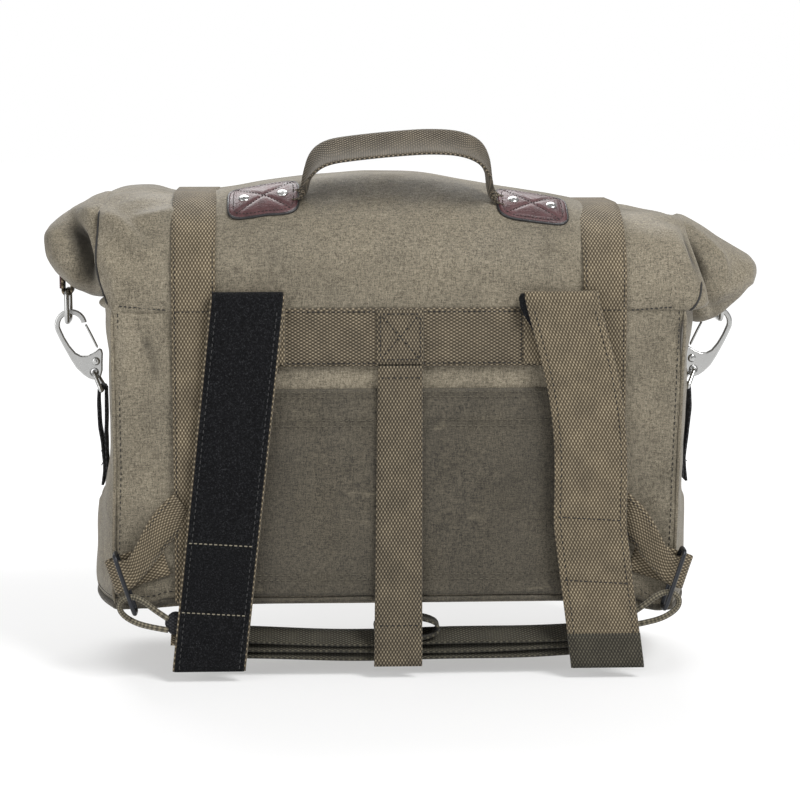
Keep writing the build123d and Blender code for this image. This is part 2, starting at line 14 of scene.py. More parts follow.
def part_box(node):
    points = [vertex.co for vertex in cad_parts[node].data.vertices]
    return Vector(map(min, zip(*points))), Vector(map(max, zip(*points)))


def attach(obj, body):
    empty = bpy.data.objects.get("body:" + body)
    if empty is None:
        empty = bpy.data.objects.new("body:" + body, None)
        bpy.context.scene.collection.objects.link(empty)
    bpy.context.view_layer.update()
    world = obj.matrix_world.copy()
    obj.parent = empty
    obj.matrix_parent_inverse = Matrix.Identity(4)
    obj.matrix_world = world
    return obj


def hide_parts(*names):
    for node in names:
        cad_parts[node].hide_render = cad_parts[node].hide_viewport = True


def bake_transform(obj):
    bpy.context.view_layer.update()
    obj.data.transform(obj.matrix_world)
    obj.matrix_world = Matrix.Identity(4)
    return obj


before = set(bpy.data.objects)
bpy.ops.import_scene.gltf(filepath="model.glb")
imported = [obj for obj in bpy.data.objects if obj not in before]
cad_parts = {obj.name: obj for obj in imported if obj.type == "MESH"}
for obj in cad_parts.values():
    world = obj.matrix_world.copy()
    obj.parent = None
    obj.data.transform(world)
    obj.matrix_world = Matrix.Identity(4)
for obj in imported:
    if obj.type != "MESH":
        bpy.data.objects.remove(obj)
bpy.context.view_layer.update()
MM = 0.001
SIDES = (("left", -1), ("right", 1))


def box_mm(node):
    """A CAD node's lowest and highest corners in millimetres."""
    low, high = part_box(node)
    return np.array(low) / MM, np.array(high) / MM


# %% [markdown]
# The finishes come first. Each is a small recipe of nodes. A helper keeps them short: it adds a node, sets
# its options, and joins other nodes into it. Object coordinates are the rest position in metres, so grain has
# a real size, and it stays put when a piece moves.
# %% A recipe for a finish


class Finish:
    """A material built from nodes, with the constant values set on the shader itself."""

    def __init__(self, name, roughness=0.5, **sockets):
        self.material = bpy.data.materials.new(name)
        self.material.use_nodes = True
        self.tree = self.material.node_tree
        self.shader = self.tree.nodes["Principled BSDF"]
        self.shader.inputs["Roughness"].default_value = roughness
        for socket, value in sockets.items():
            self.shader.inputs[socket.replace("_", " ")].default_value = value

    def add(self, kind, inputs, output=0, **options):
        made = self.tree.nodes.new("ShaderNode" + kind)
        for key, value in options.items():
            setattr(made, key, value)
        for socket, value in inputs.items():
            if isinstance(value, bpy.types.NodeSocket):
                self.tree.links.new(value, made.inputs[socket])
            else:
                made.inputs[socket].default_value = value
        return made.outputs[output]

    def place(self, stretch=(1, 1, 1), uv=False):
        """Where a point is: at rest in metres, or across and along a strap."""
        if uv:
            where = self.add("UVMap", {}, uv_map="weave")
        else:
            where = self.add("TexCoord", {}, output="Object")
        return self.add("Mapping", {"Vector": where, "Scale": stretch})

    def grain(self, scale, detail=2.0, stretch=(1, 1, 1), roughness=0.5, uv=False):
        """Noise of a given number of lumps in a metre."""
        inputs = {"Vector": self.place(stretch, uv), "Scale": scale, "Detail": detail, "Roughness": roughness}
        return self.add("TexNoise", inputs)

    def sum(self, operation, a, b=0.0):
        return self.add("Math", {0: a, 1: b}, operation=operation)

    def ramp(self, value, *stops):
        """Colours by value: each stop is (value, colour)."""
        made = self.tree.nodes.new("ShaderNodeValToRGB")
        self.tree.links.new(value, made.inputs[0])
        points = made.color_ramp.elements
        while len(points) < len(stops):
            points.new(0.5)
        for point, (at, colour) in zip(points, stops):
            point.position = at
            point.color = (*colour, 1) if isinstance(colour, tuple) else (colour, colour, colour, 1)
        return made.outputs[0]

    def mix(self, share, a, b, blend="MIX"):
        made = self.tree.nodes.new("ShaderNodeMix")
        made.data_type = "RGBA"
        made.blend_type = blend
        for socket, value in ((0, share), (6, a), (7, b)):
            if isinstance(value, bpy.types.NodeSocket):
                self.tree.links.new(value, made.inputs[socket])
            else:
                made.inputs[socket].default_value = value if socket == 0 else (*value, 1)
        return made.outputs[2]

    def bump(self, height, depth_mm, under=None):
        inputs = {"Height": height, "Distance": depth_mm * MM, "Strength": 1.0}
        if under is not None:
            inputs["Normal"] = under
        return self.add("Bump", inputs)

    def finish(self, colour, normal=None, roughness=None):
        for socket, value in (("Base Color", colour), ("Normal", normal), ("Roughness", roughness)):
            if isinstance(value, bpy.types.NodeSocket):
                self.tree.links.new(value, self.shader.inputs[socket])
            elif value is not None:
                self.shader.inputs[socket].default_value = (*value, 1)
        return self.material


# %% [markdown]
# Waxed canvas is a cotton duck rubbed with wax. Wax fills the weave, so the cloth looks like a fine mottle of
# pale and dark threads, darker where the wax is thick and pale where it has been creased. Threads across and
# threads along are two stretched noises. Broad noise gives the cloudy patches. A "shade" value on each point
# paints shade into the deep creases, where folds would shadow the cloth.
# %% Waxed canvas


def make_canvas(name, dark, pale):
    f = Finish(name, 0.72, Sheen_Weight=0.12, Sheen_Roughness=0.5, Specular_IOR_Level=0.32)
    across = f.grain(760, 2, (0.35, 1, 1.5))
    along = f.grain(760, 2, (1.5, 1, 0.35))
    threads = f.sum("MULTIPLY", f.sum("ADD", across, along), 0.5)
    speck = f.grain(1250, 3, roughness=0.8)
    fine = f.sum("ADD", f.sum("MULTIPLY", threads, 0.45), f.sum("MULTIPLY", speck, 0.55))
    cloth = f.ramp(fine, (0.38, dark), (0.5, tuple((d + p) / 2 for d, p in zip(dark, pale))), (0.61, pale))
    cloud = f.ramp(f.grain(13, 4, roughness=0.6), (0.3, 0.68), (0.7, 1.1))
    cloth = f.mix(1.0, cloth, cloud, "MULTIPLY")
    rubbed = f.ramp(f.grain(48, 6, (0.5, 1, 1.6), roughness=0.7), (0.62, 0.0), (0.78, 1.0))
    cloth = f.mix(f.sum("MULTIPLY", rubbed, 0.35), cloth, (0.32, 0.275, 0.19))
    # Painted shade: deep creases are darkened towards a near-black copy of the dark colour.
    deep = f.add("Attribute", {}, output="Fac", attribute_name="shade")
    cloth = f.mix(deep, cloth, tuple(0.28 * d for d in dark))
    creases = f.bump(f.grain(55, 3, roughness=0.6), 1.1)
    return f.finish(cloth, f.bump(fine, 0.22, creases), f.ramp(f.grain(30, 3), (0.3, 0.6), (0.7, 0.82)))


CANVAS = make_canvas("waxed canvas", (0.054, 0.045, 0.029), (0.282, 0.245, 0.179))
POCKET_CANVAS = make_canvas("waxed canvas, more wax", (0.013, 0.011, 0.0075), (0.112, 0.096, 0.068))
print("canvas finishes made")

# %% [markdown]
# Webbing is woven from thick yarn. Where a yarn passes over, it shows as a pale dot, and the dots of one row
# sit between the dots of the next. The product of two sine waves gives exactly that lattice. A strap's own
# UV map is laid out in metres, so the pitch of the dots is the pitch of the loom.
# %% Webbing, tape and thread
DOT_ACROSS = 1.13
DOT_ALONG = 1.95


def make_webbing(name, dark, pale, across=DOT_ACROSS, along=DOT_ALONG, depth=0.45, sheen=0.1):
    f = Finish(name, 0.78, Sheen_Weight=sheen, Specular_IOR_Level=0.3)
    spots = f.add("SeparateXYZ", {"Vector": f.place(uv=True)})
    ends = spots.node.outputs
    wobble = f.sum("MULTIPLY", f.grain(400, 1, uv=True), 0.9)
    u = f.sum("ADD", f.sum("MULTIPLY", ends[0], math.pi / (across * MM)), wobble)
    v = f.sum("ADD", f.sum("MULTIPLY", ends[1], math.pi / (along * MM)), wobble)
    row = f.sum("SINE", v)
    lattice = f.sum("MULTIPLY", f.sum("MULTIPLY", f.sum("SINE", u), row), f.sum("ABSOLUTE", row))
    height = f.sum("ADD", f.sum("MULTIPLY", lattice, 0.5), 0.5)
    middle = tuple(0.42 * p + 0.58 * d for d, p in zip(dark, pale))
    yarn = f.ramp(height, (0.4, dark), (0.62, middle), (0.84, pale))
    cloud = f.ramp(f.grain(60, 3, uv=True), (0.3, 0.75), (0.7, 1.12))
    return f.finish(f.mix(1.0, yarn, cloud, "MULTIPLY"), f.bump(height, depth))


WEBBING = make_webbing("olive webbing", (0.052, 0.039, 0.021), (0.325, 0.267, 0.18))
# Painted shade: a darker copy of the olive webbing, for webbing in shade under the bag and at a strap's foot.
SHADED_WEBBING = make_webbing("olive webbing in shade", (0.016, 0.014, 0.009), (0.1, 0.09, 0.062))
BLACK_WEBBING = make_webbing("black webbing", (0.006, 0.006, 0.007), (0.035, 0.035, 0.04), sheen=0.05)
BAND_WEBBING = make_webbing("olive webbing, more wax", (0.032, 0.0245, 0.0135), (0.27, 0.222, 0.152))
HANDLE_WEBBING = make_webbing("handle webbing", (0.024, 0.019, 0.0115), (0.23, 0.19, 0.134), 1.0, 1.6)


def make_pile(name, depth):
    """Loop or hook tape: a dense black nap."""
    f = Finish(name, 0.95, Sheen_Weight=0.04, Sheen_Roughness=0.4, Specular_IOR_Level=0.1)
    nap = f.grain(900, 4, roughness=0.85)
    tufts = f.grain(330, 2)
    height = f.sum("ADD", nap, f.sum("MULTIPLY", tufts, 0.6))
    colour = f.ramp(nap, (0.4, (0.0025, 0.0027, 0.003)), (0.56, (0.009, 0.0093, 0.0105)), (0.7, (0.045, 0.046, 0.049)))
    return f.finish(colour, f.bump(height, depth))


PILE = make_pile("black loop pile", 0.9)
HOOKS = make_pile("black hook tape", 0.5)


def make_thread(name, colour):
    f = Finish(name, 0.6, Specular_IOR_Level=0.35)
    twist = f.grain(2600, 1)
    return f.finish(f.mix(twist, tuple(0.6 * c for c in colour), colour), f.bump(twist, 0.1))


DARK_THREAD = make_thread("dark thread", (0.022, 0.021, 0.02))
WAXED_THREAD = make_thread("waxed thread", (0.125, 0.11, 0.08))
TAN_THREAD = make_thread("tan thread", (0.3, 0.27, 0.2))
GREY_THREAD = make_thread("grey thread", (0.045, 0.045, 0.045))

# %% [markdown]
# The leather is oxblood hide with a fine pebble, and its cut edges are painted black. Cells of a Voronoi
# texture make the pebble. A thin coat gives the polish.
# %% Leather


def make_leather(name, dark, pale):
    f = Finish(name, 0.42, Coat_Weight=0.18, Coat_Roughness=0.3, Specular_IOR_Level=0.45)
    cells = f.add("TexVoronoi", {"Vector": f.place(), "Scale": 950.0})
    wear = f.grain(120, 4, roughness=0.65)
    colour = f.ramp(wear, (0.32, dark), (0.7, pale))
    height = f.sum("SUBTRACT", f.sum("MULTIPLY", wear, 0.3), cells)
    return f.finish(colour, f.bump(height, 0.16), f.ramp(wear, (0.3, 0.34), (0.7, 0.52)))


LEATHER = make_leather("oxblood leather", (0.034, 0.011, 0.012), (0.085, 0.03, 0.032))
EDGE_PAINT = make_leather("black leather edge", (0.006, 0.006, 0.007), (0.016, 0.015, 0.016))

# %% [markdown]
# The hooks, rings and rivets are nickel plated and slightly satin. Plating isn't even: fine scratches and
# soft stains change its roughness. The tie rings are blackened wire, and the slider is moulded plastic.
# %% Metal and plastic


def make_plating(name, colour, roughness, metallic=1.0, scratch=0.02):
    f = Finish(name, roughness, Metallic=metallic)
    stain = f.grain(70, 4, roughness=0.6)
    hair = f.grain(700, 2, (1, 1, 0.08))
    tone = f.mix(stain, tuple(0.8 * c for c in colour), colour)
    rough = f.ramp(stain, (0.3, max(0.05, roughness - 0.08)), (0.7, roughness + 0.1))
    return f.finish(tone, f.bump(hair, scratch), rough)


NICKEL = make_plating("satin nickel", (0.5, 0.5, 0.49), 0.26)
BLACK_WIRE = make_plating("blackened wire", (0.035, 0.037, 0.042), 0.36, 0.7)
PLASTIC = make_plating("black moulded plastic", (0.014, 0.014, 0.015), 0.45, 0.0, 0.05)
BOARD = make_plating("grey board", (0.2, 0.19, 0.17), 0.85, 0.0, 0.2)
LINING = make_plating("lining cloth", (0.03, 0.03, 0.03), 0.9, 0.0, 0.1)
print(len(bpy.data.materials), "finishes")

# %% [markdown]
# Almost everything here is a surface swept through rows of points, so one function turns rows into a mesh.
# Rows may close on themselves, and open ends may be capped. The UV map holds real lengths in metres: across
# the strap in u and along it in v, for the weave.
# %% Rows of points to a mesh


def make_mesh(name, points_mm, faces, finish, uvs=None):
    mesh = bpy.data.meshes.new(name)
    mesh.from_pydata((np.asarray(points_mm) * MM).tolist(), [], faces)
    mesh.update()
    mesh.polygons.foreach_set("use_smooth", [True] * len(mesh.polygons))
    if uvs is not None:
        corners = np.zeros(len(mesh.loops), int)
        mesh.loops.foreach_get("vertex_index", corners)
        layer = mesh.uv_layers.new(name="weave")
        layer.data.foreach_set("uv", (np.asarray(uvs)[corners] * MM).astype(np.float32).ravel())
    mesh.materials.append(finish)
    piece = bpy.data.objects.new(name, mesh)
    bpy.context.collection.objects.link(piece)
    return piece


def rows_to_mesh(name, rows, finish, closed_rows=False, closed_run=False, caps=False, uvs=None):
    """rows is an array (run, row, 3) in millimetres."""
    run, row = rows.shape[:2]
    index = np.arange(run * row).reshape(run, row)
    across = np.roll(index, -1, 1) if closed_rows else index[:, 1:]
    here = index if closed_rows else index[:, :-1]
    if closed_run:
        a, b, c, d = here, across, np.roll(across, -1, 0), np.roll(here, -1, 0)
    else:
        a, b, c, d = here[:-1], across[:-1], across[1:], here[1:]
    faces = np.stack([a, b, c, d], -1).reshape(-1, 4).tolist()
    if caps:
        faces += [index[0][::-1].tolist(), index[-1].tolist()]
    flat = None if uvs is None else uvs.reshape(-1, 2)
    return make_mesh(name, rows.reshape(-1, 3), faces, finish, flat)


def unit(v):
    return v / np.maximum(np.linalg.norm(v, axis=-1, keepdims=True), 1e-9)


def soften(piece, levels=1):
    """Subdivides a piece and keeps the result."""
    piece.modifiers.new("smooth", "SUBSURF").levels = levels
    piece.modifiers["smooth"].render_levels = levels
    bake(piece)
    return piece


def bake(piece):
    """Turns a piece's modifiers into mesh."""
    depsgraph = bpy.context.evaluated_depsgraph_get()
    made = bpy.data.meshes.new_from_object(piece.evaluated_get(depsgraph))
    piece.modifiers.clear()
    piece.data = made
    return piece


# %% [markdown]
# The box of the bag is one lofted shell. Its outline seen from above is straight at the back and front, where
# boards stiffen it, and bowed at the ends. It leans out a little at the bottom left, as a loaded bag does.
# Corners are tight, because the panels are seamed there.
# %% The outline of the box
HALF_W = box_mm("back_panel")[1][0]
BASE_Z = box_mm("back_panel")[0][2]
SEAM_Z = box_mm("back_panel")[1][2]
DEPTH = box_mm("front_panel")[1][1]
BULGE = box_mm("right_gusset")[1][0] - HALF_W
MID_Y = DEPTH / 2
CORNER = 5.0
STEP = 4.0


def edge_shift(z, side):
    """How far a side stands out from the CAD box, by height."""
    if side < 0:
        return np.interp(z, [BASE_Z, -172, -130, -90, 0, 30], [8, 10, 9, 7.5, 8, 8])
    return np.interp(z, [BASE_Z, -150, -110, -60, 10, 30], [1, 3, 4.5, 6, 8.5, 8])


def box_outline():
    """Points (x share, x offset, y, normal x, normal y) round the box, seen from above, anticlockwise."""
    flat = np.arange(-HALF_W + CORNER, HALF_W - CORNER + 0.1, STEP)
    quarter = np.radians(np.linspace(0, 90, 5)[1:-1])
    bow = np.linspace(CORNER, DEPTH - CORNER, 36)
    points = [(x, 0.0, 0.0, -1.0) for x in flat]
    points += [
        (HALF_W - CORNER + CORNER * math.sin(a), CORNER - CORNER * math.cos(a), math.sin(a), -math.cos(a))
        for a in quarter
    ]
    for y in bow:
        share = (y - MID_Y) / (MID_Y - CORNER)
        points.append((HALF_W + BULGE * (1 - share * share), y, 1.0, 0.25 * share))
    far = np.array([HALF_W - CORNER, DEPTH - CORNER])
    points += [
        (*(far + CORNER * np.array([math.cos(a), math.sin(a)])), math.cos(a), math.sin(a)) for a in quarter
    ]
    points = np.array(points)
    front = points.copy()
    front[:, :2] = np.column_stack([-points[:, 0], DEPTH - points[:, 1]])
    front[:, 2:] *= -1
    return np.vstack([points, front])


OUTLINE = box_outline()
print(len(OUTLINE), "points round the box")

# %% [markdown]
# Cloth is never flat. Two things shape it after the loft: broad, soft noise for the slack, and folds pressed
# along named lines, as a sculptor would. A fold is a line in the plane that you look at, with a width and a
# height. A negative height is a valley. A pair of widths makes a fold with one steep side.
# %% Slack and folds


def slack(points, size, seed=0.0):
    """Soft noise from -1 to 1 at each point, with lumps of the given size in millimetres."""
    shift = Vector((seed, seed * 1.7, -seed))
    return np.array([noise.noise(Vector(p) / size + shift) for p in points.reshape(-1, 3)]).reshape(points.shape[:-1])


def ease(t):
    t = np.clip(t, 0, 1)
    return t * t * (3 - 2 * t)


def near_line(x, z, line):
    """Distance from points to a broken line in the XZ plane, and the share of the way along it.

    The distance is positive on the left of the way that the line runs.
    """
    best = np.full(x.shape, 1e9)
    share = np.zeros(x.shape)
    line = np.array(line, float)
    pieces = len(line) - 1
    for i, (a, b) in enumerate(zip(line, line[1:])):
        run = b - a
        t = np.clip(((x - a[0]) * run[0] + (z - a[1]) * run[1]) / (run @ run), 0, 1)
        d = np.hypot(x - a[0] - t * run[0], z - a[1] - t * run[1])
        d *= np.where(run[0] * (z - a[1]) < run[1] * (x - a[0]), -1, 1)
        nearer = np.abs(d) < np.abs(best)
        share = np.where(nearer, (i + t) / pieces, share)
        best = np.where(nearer, d, best)
    return best, share


def press_folds(points, normals, folds, facing=(0, -1, 0)):
    """Raises ridges and sinks valleys on the side that faces a given way. Also says how deep a point lies."""
    seen = np.clip(normals @ np.array(facing, float) * 1.6, 0, 1)
    depth = np.zeros(points.shape[:-1])
    for line, width, height in folds:
        d, share = near_line(points[..., 0], points[..., 2], line)
        taper = np.sin(np.pi * np.clip(0.12 + 0.76 * share, 0, 1))
        left, right = width if isinstance(width, tuple) else (width, width)
        lift = height * taper * np.exp(-((d / np.where(d > 0, left, right)) ** 2)) * seen
        points = points + normals * lift[..., None]
        depth = np.maximum(depth, -lift)
    return points, depth


# Painted shade in creases: the depth where it starts, the depth over which it grows, and its darkest share.
CREASE_START, CREASE_RANGE, CREASE_DARK = 1.5, 8.0, 0.9


def shade_creases(piece, depth_mm):
    """Painted shade for deep creases: the canvas finish darkens them by this value."""
    layer = piece.data.attributes.new("shade", "FLOAT", "POINT")
    shade = ease((depth_mm - CREASE_START) / CREASE_RANGE) * CREASE_DARK
    layer.data.foreach_set("value", shade.astype(np.float32).ravel())


def normals_of(rows):
    """Outward normals of a closed tube of rows."""
    along = np.gradient(rows, axis=0)
    round_it = np.roll(rows, -1, 1) - np.roll(rows, 1, 1)
    return unit(np.cross(round_it, along))


# %% [markdown]
# The box: rows of the outline from the seam down to the base, a rounded bottom edge, and rings that close the
# floor. The folds are the vertical tuck under the left seam and the creases over the gussets. The bottom corners
# sag, and the middle of the back and front is held clear of the boards inside, so that none shows.
# %% The box of the bag
SIDE_FOLDS = [
    ([(-184, 12), (-182, -14), (-178, -48)], 9, 3.0),
    ([(-178, 15), (-170, -8), (-163, -36)], (5, 2.4), -2.2),
    ([(-168, 14), (-160, -8), (-157, -40)], 4.5, 2.0),
    ([(150, 12), (158, -20), (160, -60)], 9, 1.6),
    ([(-186, -96), (-170, -120), (-160, -128)], 8, 2.0),
    ([(-178, -140), (-168, -158), (-150, -170)], 7, -1.6),
    ([(176, -120), (164, -146), (160, -168)], 8, 1.6),
    ([(-184, 6), (-186, -40), (-184, -90)], 4, 1.2),
    ([(184, 6), (184, -40), (184, -90)], 4, 1.4),
    ([(194, 8), (197, 0), (196, -14)], 5, -4.5),
]
EDGE_R = 7.0
BOARD_CLEAR = 1.3


def lean_out(z):
    """Sideways move of each outline point at a height. It fades at mid depth, behind the side straps."""
    side = np.clip(np.abs(OUTLINE[:, 0]) / HALF_W, 0, 1) ** 6
    shift = np.where(OUTLINE[:, 0] < 0, -edge_shift(z, -1), edge_shift(z, 1)) * side
    wide = np.where(OUTLINE[:, 0] < 0, 30, 44)
    behind = np.exp(-(((OUTLINE[:, 1] - MID_Y) / wide) ** 2)) * (z > -116)
    bulge = np.clip(-OUTLINE[:, 0] - HALF_W, 0, None)  # the left end is pulled flatter above its strap
    return shift * (1 - 0.85 * behind) + 0.5 * bulge * np.interp(z, [-110, -75], [0, 1])


def drop_corners(points):
    """The bottom corners sag lower than the boards between them."""
    drop = np.interp(points[..., 0], [-192, -168, -161, 164, 175, 190], [4, 3, 0, 0, 8, 8])
    points[..., 2] -= drop * np.clip((-125 - points[..., 2]) / 50, 0, 1)
    return points


def box_rows():
    edge = BASE_Z + EDGE_R * (1 - np.sin(np.radians([0, 25, 50, 75])))
    heights = np.concatenate([np.arange(SEAM_Z + 1, BASE_Z + EDGE_R, -STEP), edge])
    rows = []
    for z in heights:
        drop = np.clip((BASE_Z + EDGE_R - z) / EDGE_R, 0, 1)
        inset = EDGE_R * (1 - math.sqrt(max(0.0, 1 - drop * drop))) + 0.6
        x = OUTLINE[:, 0] + lean_out(z) - inset * OUTLINE[:, 2]
        y = OUTLINE[:, 1] - inset * OUTLINE[:, 3]
        rows.append(np.column_stack([x, y, np.full(len(x), z)]))
    floor = rows[-1]
    middle = np.array([0, MID_Y, BASE_Z + 0.4])
    rows += [middle + (floor - middle) * (share, share, 1) for share in (0.97, 0.8, 0.55, 0.3, 0.1, 0.01)]
    return drop_corners(np.array(rows))


rows = box_rows()
out = -normals_of(rows)
away = np.abs(rows[..., 2] - SEAM_Z) < 6
cloth = np.clip(1.5 * slack(rows, 70, 3.1) + 0.7 * slack(rows, 24, 7.7), -1.0, 2.0)
at_side = np.clip(np.abs(out[..., 0]), 0, 1)
under_straps = np.exp(-(((np.abs(rows[..., 0]) - 139) / 22) ** 4)) + (np.abs(rows[..., 0]) < 122)
quiet = np.where(away, 0.4, 1) * (1 - 0.6 * np.clip(under_straps, 0, 1))
rows = rows + out * (cloth * (0.55 + 0.9 * at_side) * quiet)[..., None]
rows, depth = press_folds(rows, out, SIDE_FOLDS)
y = rows[..., 1]
clear = np.where(y < MID_Y, np.minimum(y, BOARD_CLEAR), np.maximum(y, DEPTH - BOARD_CLEAR))
rows[..., 1] = np.where(np.abs(rows[..., 0]) < HALF_W - 8, clear, y)
GUSSET_FOLDS = [
    ([(20, 20), (60, -20), (70, -70)], 9, 2.5),
    ([(130, 20), (95, -30), (90, -90)], 10, 2.5),
    ([(75, -120), (76, -175)], 14, -1.6),
]
for side, sign in SIDES:
    turned = rows[..., [1, 0, 2]]
    seen = np.clip(out[..., 0] * sign * 1.4 - 0.2, 0, 1)
    for line, width, height in GUSSET_FOLDS:
        d, _ = near_line(turned[..., 0], turned[..., 2], line)
        rows[..., 0] += sign * seen * height * np.exp(-((d / width) ** 2))
box_cloth = rows_to_mesh("bag_box_canvas", rows, CANVAS, closed_rows=True)
# Painted shade in the box's creases, at three times their depth.
shade_creases(box_cloth, depth * 3)
soften(box_cloth)
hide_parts("back_panel", "front_panel", "left_gusset", "right_gusset", "base_panel")
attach(box_cloth, "bag")
print("box canvas:", len(box_cloth.data.polygons), "faces")

# %% [markdown]
# The sleeve is the soft part above the seam. It goes up the back, round a shoulder, over the crest, round the
# rolled mouth and down the front. A filled roll-top isn't level: the crest is highest in the middle and sags
# to the right, so one curve gives its height along the bag.
# %% The sleeve's outline
SHOULDER_R = 64.0
CREST_Z = box_mm("upper_back")[1][2]
SHOULDER_Z = CREST_Z - SHOULDER_R
ROLL_LOW, ROLL_HIGH = box_mm("rolled_mouth")
ROLL_Y = (ROLL_LOW[1] + ROLL_HIGH[1]) / 2
ROLL_Z = (ROLL_LOW[2] + ROLL_HIGH[2]) / 2
CENTRE = np.array([MID_Y, 58.0])
CREST_X = [-260, -205, -178, -150, -115, -74, -25, 18, 49, 80, 112, 149, 189, 215, 260]
CREST_H = [90, 93, 95, 91, 96, 102.5, 107, 105.5, 100.5, 95, 90.5, 82, 77, 74, 70]


def crest(x):
    """Height of the crest along the bag, smoothed between the places where straps pull it in."""
    spread = np.linspace(-12, 12, 7)
    return np.mean([np.interp(x + s, CREST_X, CREST_H) for s in spread], axis=0)


def sleeve_profile():
    """The outline in the YZ plane as a fine line of points, from the back seam over to the front seam."""
    turn = np.radians(np.linspace(90, 0, 40))
    shoulder = np.column_stack([SHOULDER_R - SHOULDER_R * np.sin(turn), SHOULDER_Z + SHOULDER_R * np.cos(turn)])
    wrap = np.radians(np.linspace(85, -48, 40))
    roll = np.column_stack([ROLL_Y + 2 + 32 * np.cos(wrap), ROLL_Z + 1 + 27 * np.sin(wrap)])
    under = [(147.6, 47), (149.6, 40), (149.8, 17), (75, 15), (0, 17)]
    return np.vstack([[(0, 17), (0, SHOULDER_Z)], shoulder, roll, under])


PROFILE = sleeve_profile()


def by_angle(line, centre, angles):
    """A closed outline's radius at each angle about its centre."""
    rel = line - centre
    theta = np.unwrap(np.arctan2(rel[:, 1], rel[:, 0]))
    order = np.argsort(theta)
    return np.interp(angles, theta[order], np.hypot(rel[:, 0], rel[:, 1])[order], period=2 * math.pi)


AROUND = np.linspace(math.pi, -math.pi, 190, endpoint=False)
fine = np.vstack([a + (b - a) * t for a, b in zip(PROFILE, PROFILE[1:]) for t in np.linspace(0, 1, 8)])
RADII = by_angle(fine, CENTRE, AROUND)
FULL = CENTRE + RADII[:, None] * np.column_stack([np.cos(AROUND), np.sin(AROUND)])


def settle_height(x, yz):
    """Moves an outline's points from the level CAD crest to the real one at x."""
    rise = (crest(x) - CREST_Z) * np.clip((yz[:, 1] - SEAM_Z) / (CREST_Z - SEAM_Z), 0, 1)
    soft = np.where(rise > 0, ease((yz[:, 0] - 14) / 46), 1.0)
    return np.column_stack([yz[:, 0], yz[:, 1] + rise * soft])


print("crest from", round(float(crest(-25)), 1), "down to", round(float(crest(189)), 1), "mm")

# %% [markdown]
# At each end the rolled mouth sticks out as an ear of folded cloth, and the steel ring hangs from it. The
# sleeve and both ears are one loft: full outlines across the bag, then a tuck inwards at the body's edge, then
# flattened ovals out to the tip. The tuck gives the dark crease that a sewn side has.
# %% The sleeve and its ears
EAR_OVALS = {
    -1: [
        (199, 84, 58, 57, 36), (212, 83, 57, 54, 35), (224, 84, 56, 46, 29),
        (234, 85, 57, 36, 20), (241, 86, 59, 25, 12), (245, 87, 60, 9, 5),
    ],
    1: [
        (200, 84, 40, 57, 37), (213, 83, 35, 54, 35), (227, 84, 33, 46, 28),
        (241, 85, 34, 36, 19), (252, 86, 36, 25, 11), (257, 87, 37, 8, 4),
    ],
}
TUCKS = [(190, 1.0, 0.0), (195, 0.985, 0.0), (200, 0.95, 2), (202.5, 0.9, 4), (201, 0.85, 7), (197.5, 0.8, 9)]


def oval(y, z, half_y, half_z):
    """A flattened oval, with its points at the same angles as the full outline."""
    c, s = np.cos(AROUND), np.sin(AROUND)
    r = (np.abs(c / half_y) ** 2.4 + np.abs(s / half_z) ** 2.4) ** (-1 / 2.4)
    return np.column_stack([y + r * c, z + r * s])


def between(stations, steps):
    """Extra ovals between the given ones, along a smooth curve."""
    stations = np.array(stations, float)
    t = np.arange(len(stations))
    return np.column_stack([np.interp(np.linspace(0, t[-1], steps), t, column) for column in stations.T])


def ear_rows(sign):
    rows = []
    for x, scale, deeper in TUCKS:
        yz = settle_height(sign * x, CENTRE + (FULL - CENTRE) * scale + (deeper, 0))
        tuck_in = 8 * (1 - ease((yz[:, 1] - SEAM_Z) / 34)) * (1 - ease((yz[:, 0] - 8) / 34))
        swell = 3.5 - tuck_in if sign < 0 else 10 * (1 - ease((yz[:, 1] - 22) / 40))
        share = (x - 188) / 14
        rows.append(np.column_stack([np.full(len(yz), sign * (x + swell * np.clip(share, 0, 1))), yz]))
    for x, y, z, half_y, half_z in between(EAR_OVALS[sign], 24):
        yz = oval(y, z, half_y, half_z)
        if sign > 0:  # the ring hangs under the ear's middle, so only the back lip comes low
            yz[:, 1] = np.where(yz[:, 0] > 54, np.maximum(yz[:, 1], 29 - 22 * ease((62 - yz[:, 0]) / 8)), yz[:, 1])
        rows.append(np.column_stack([np.full(len(yz), sign * x), yz]))
    tip = rows[-1].mean(0)
    rows.append(tip + (rows[-1] - tip) * 0.05 + (sign * 0.6, 0, 0))
    return rows


middle_rows = [np.column_stack([np.full(len(FULL), x), settle_height(x, FULL)]) for x in np.arange(-186, 187, STEP)]
rows = np.array(ear_rows(-1)[::-1] + middle_rows + ear_rows(1))
out = -normals_of(rows)
print("sleeve rows:", rows.shape)

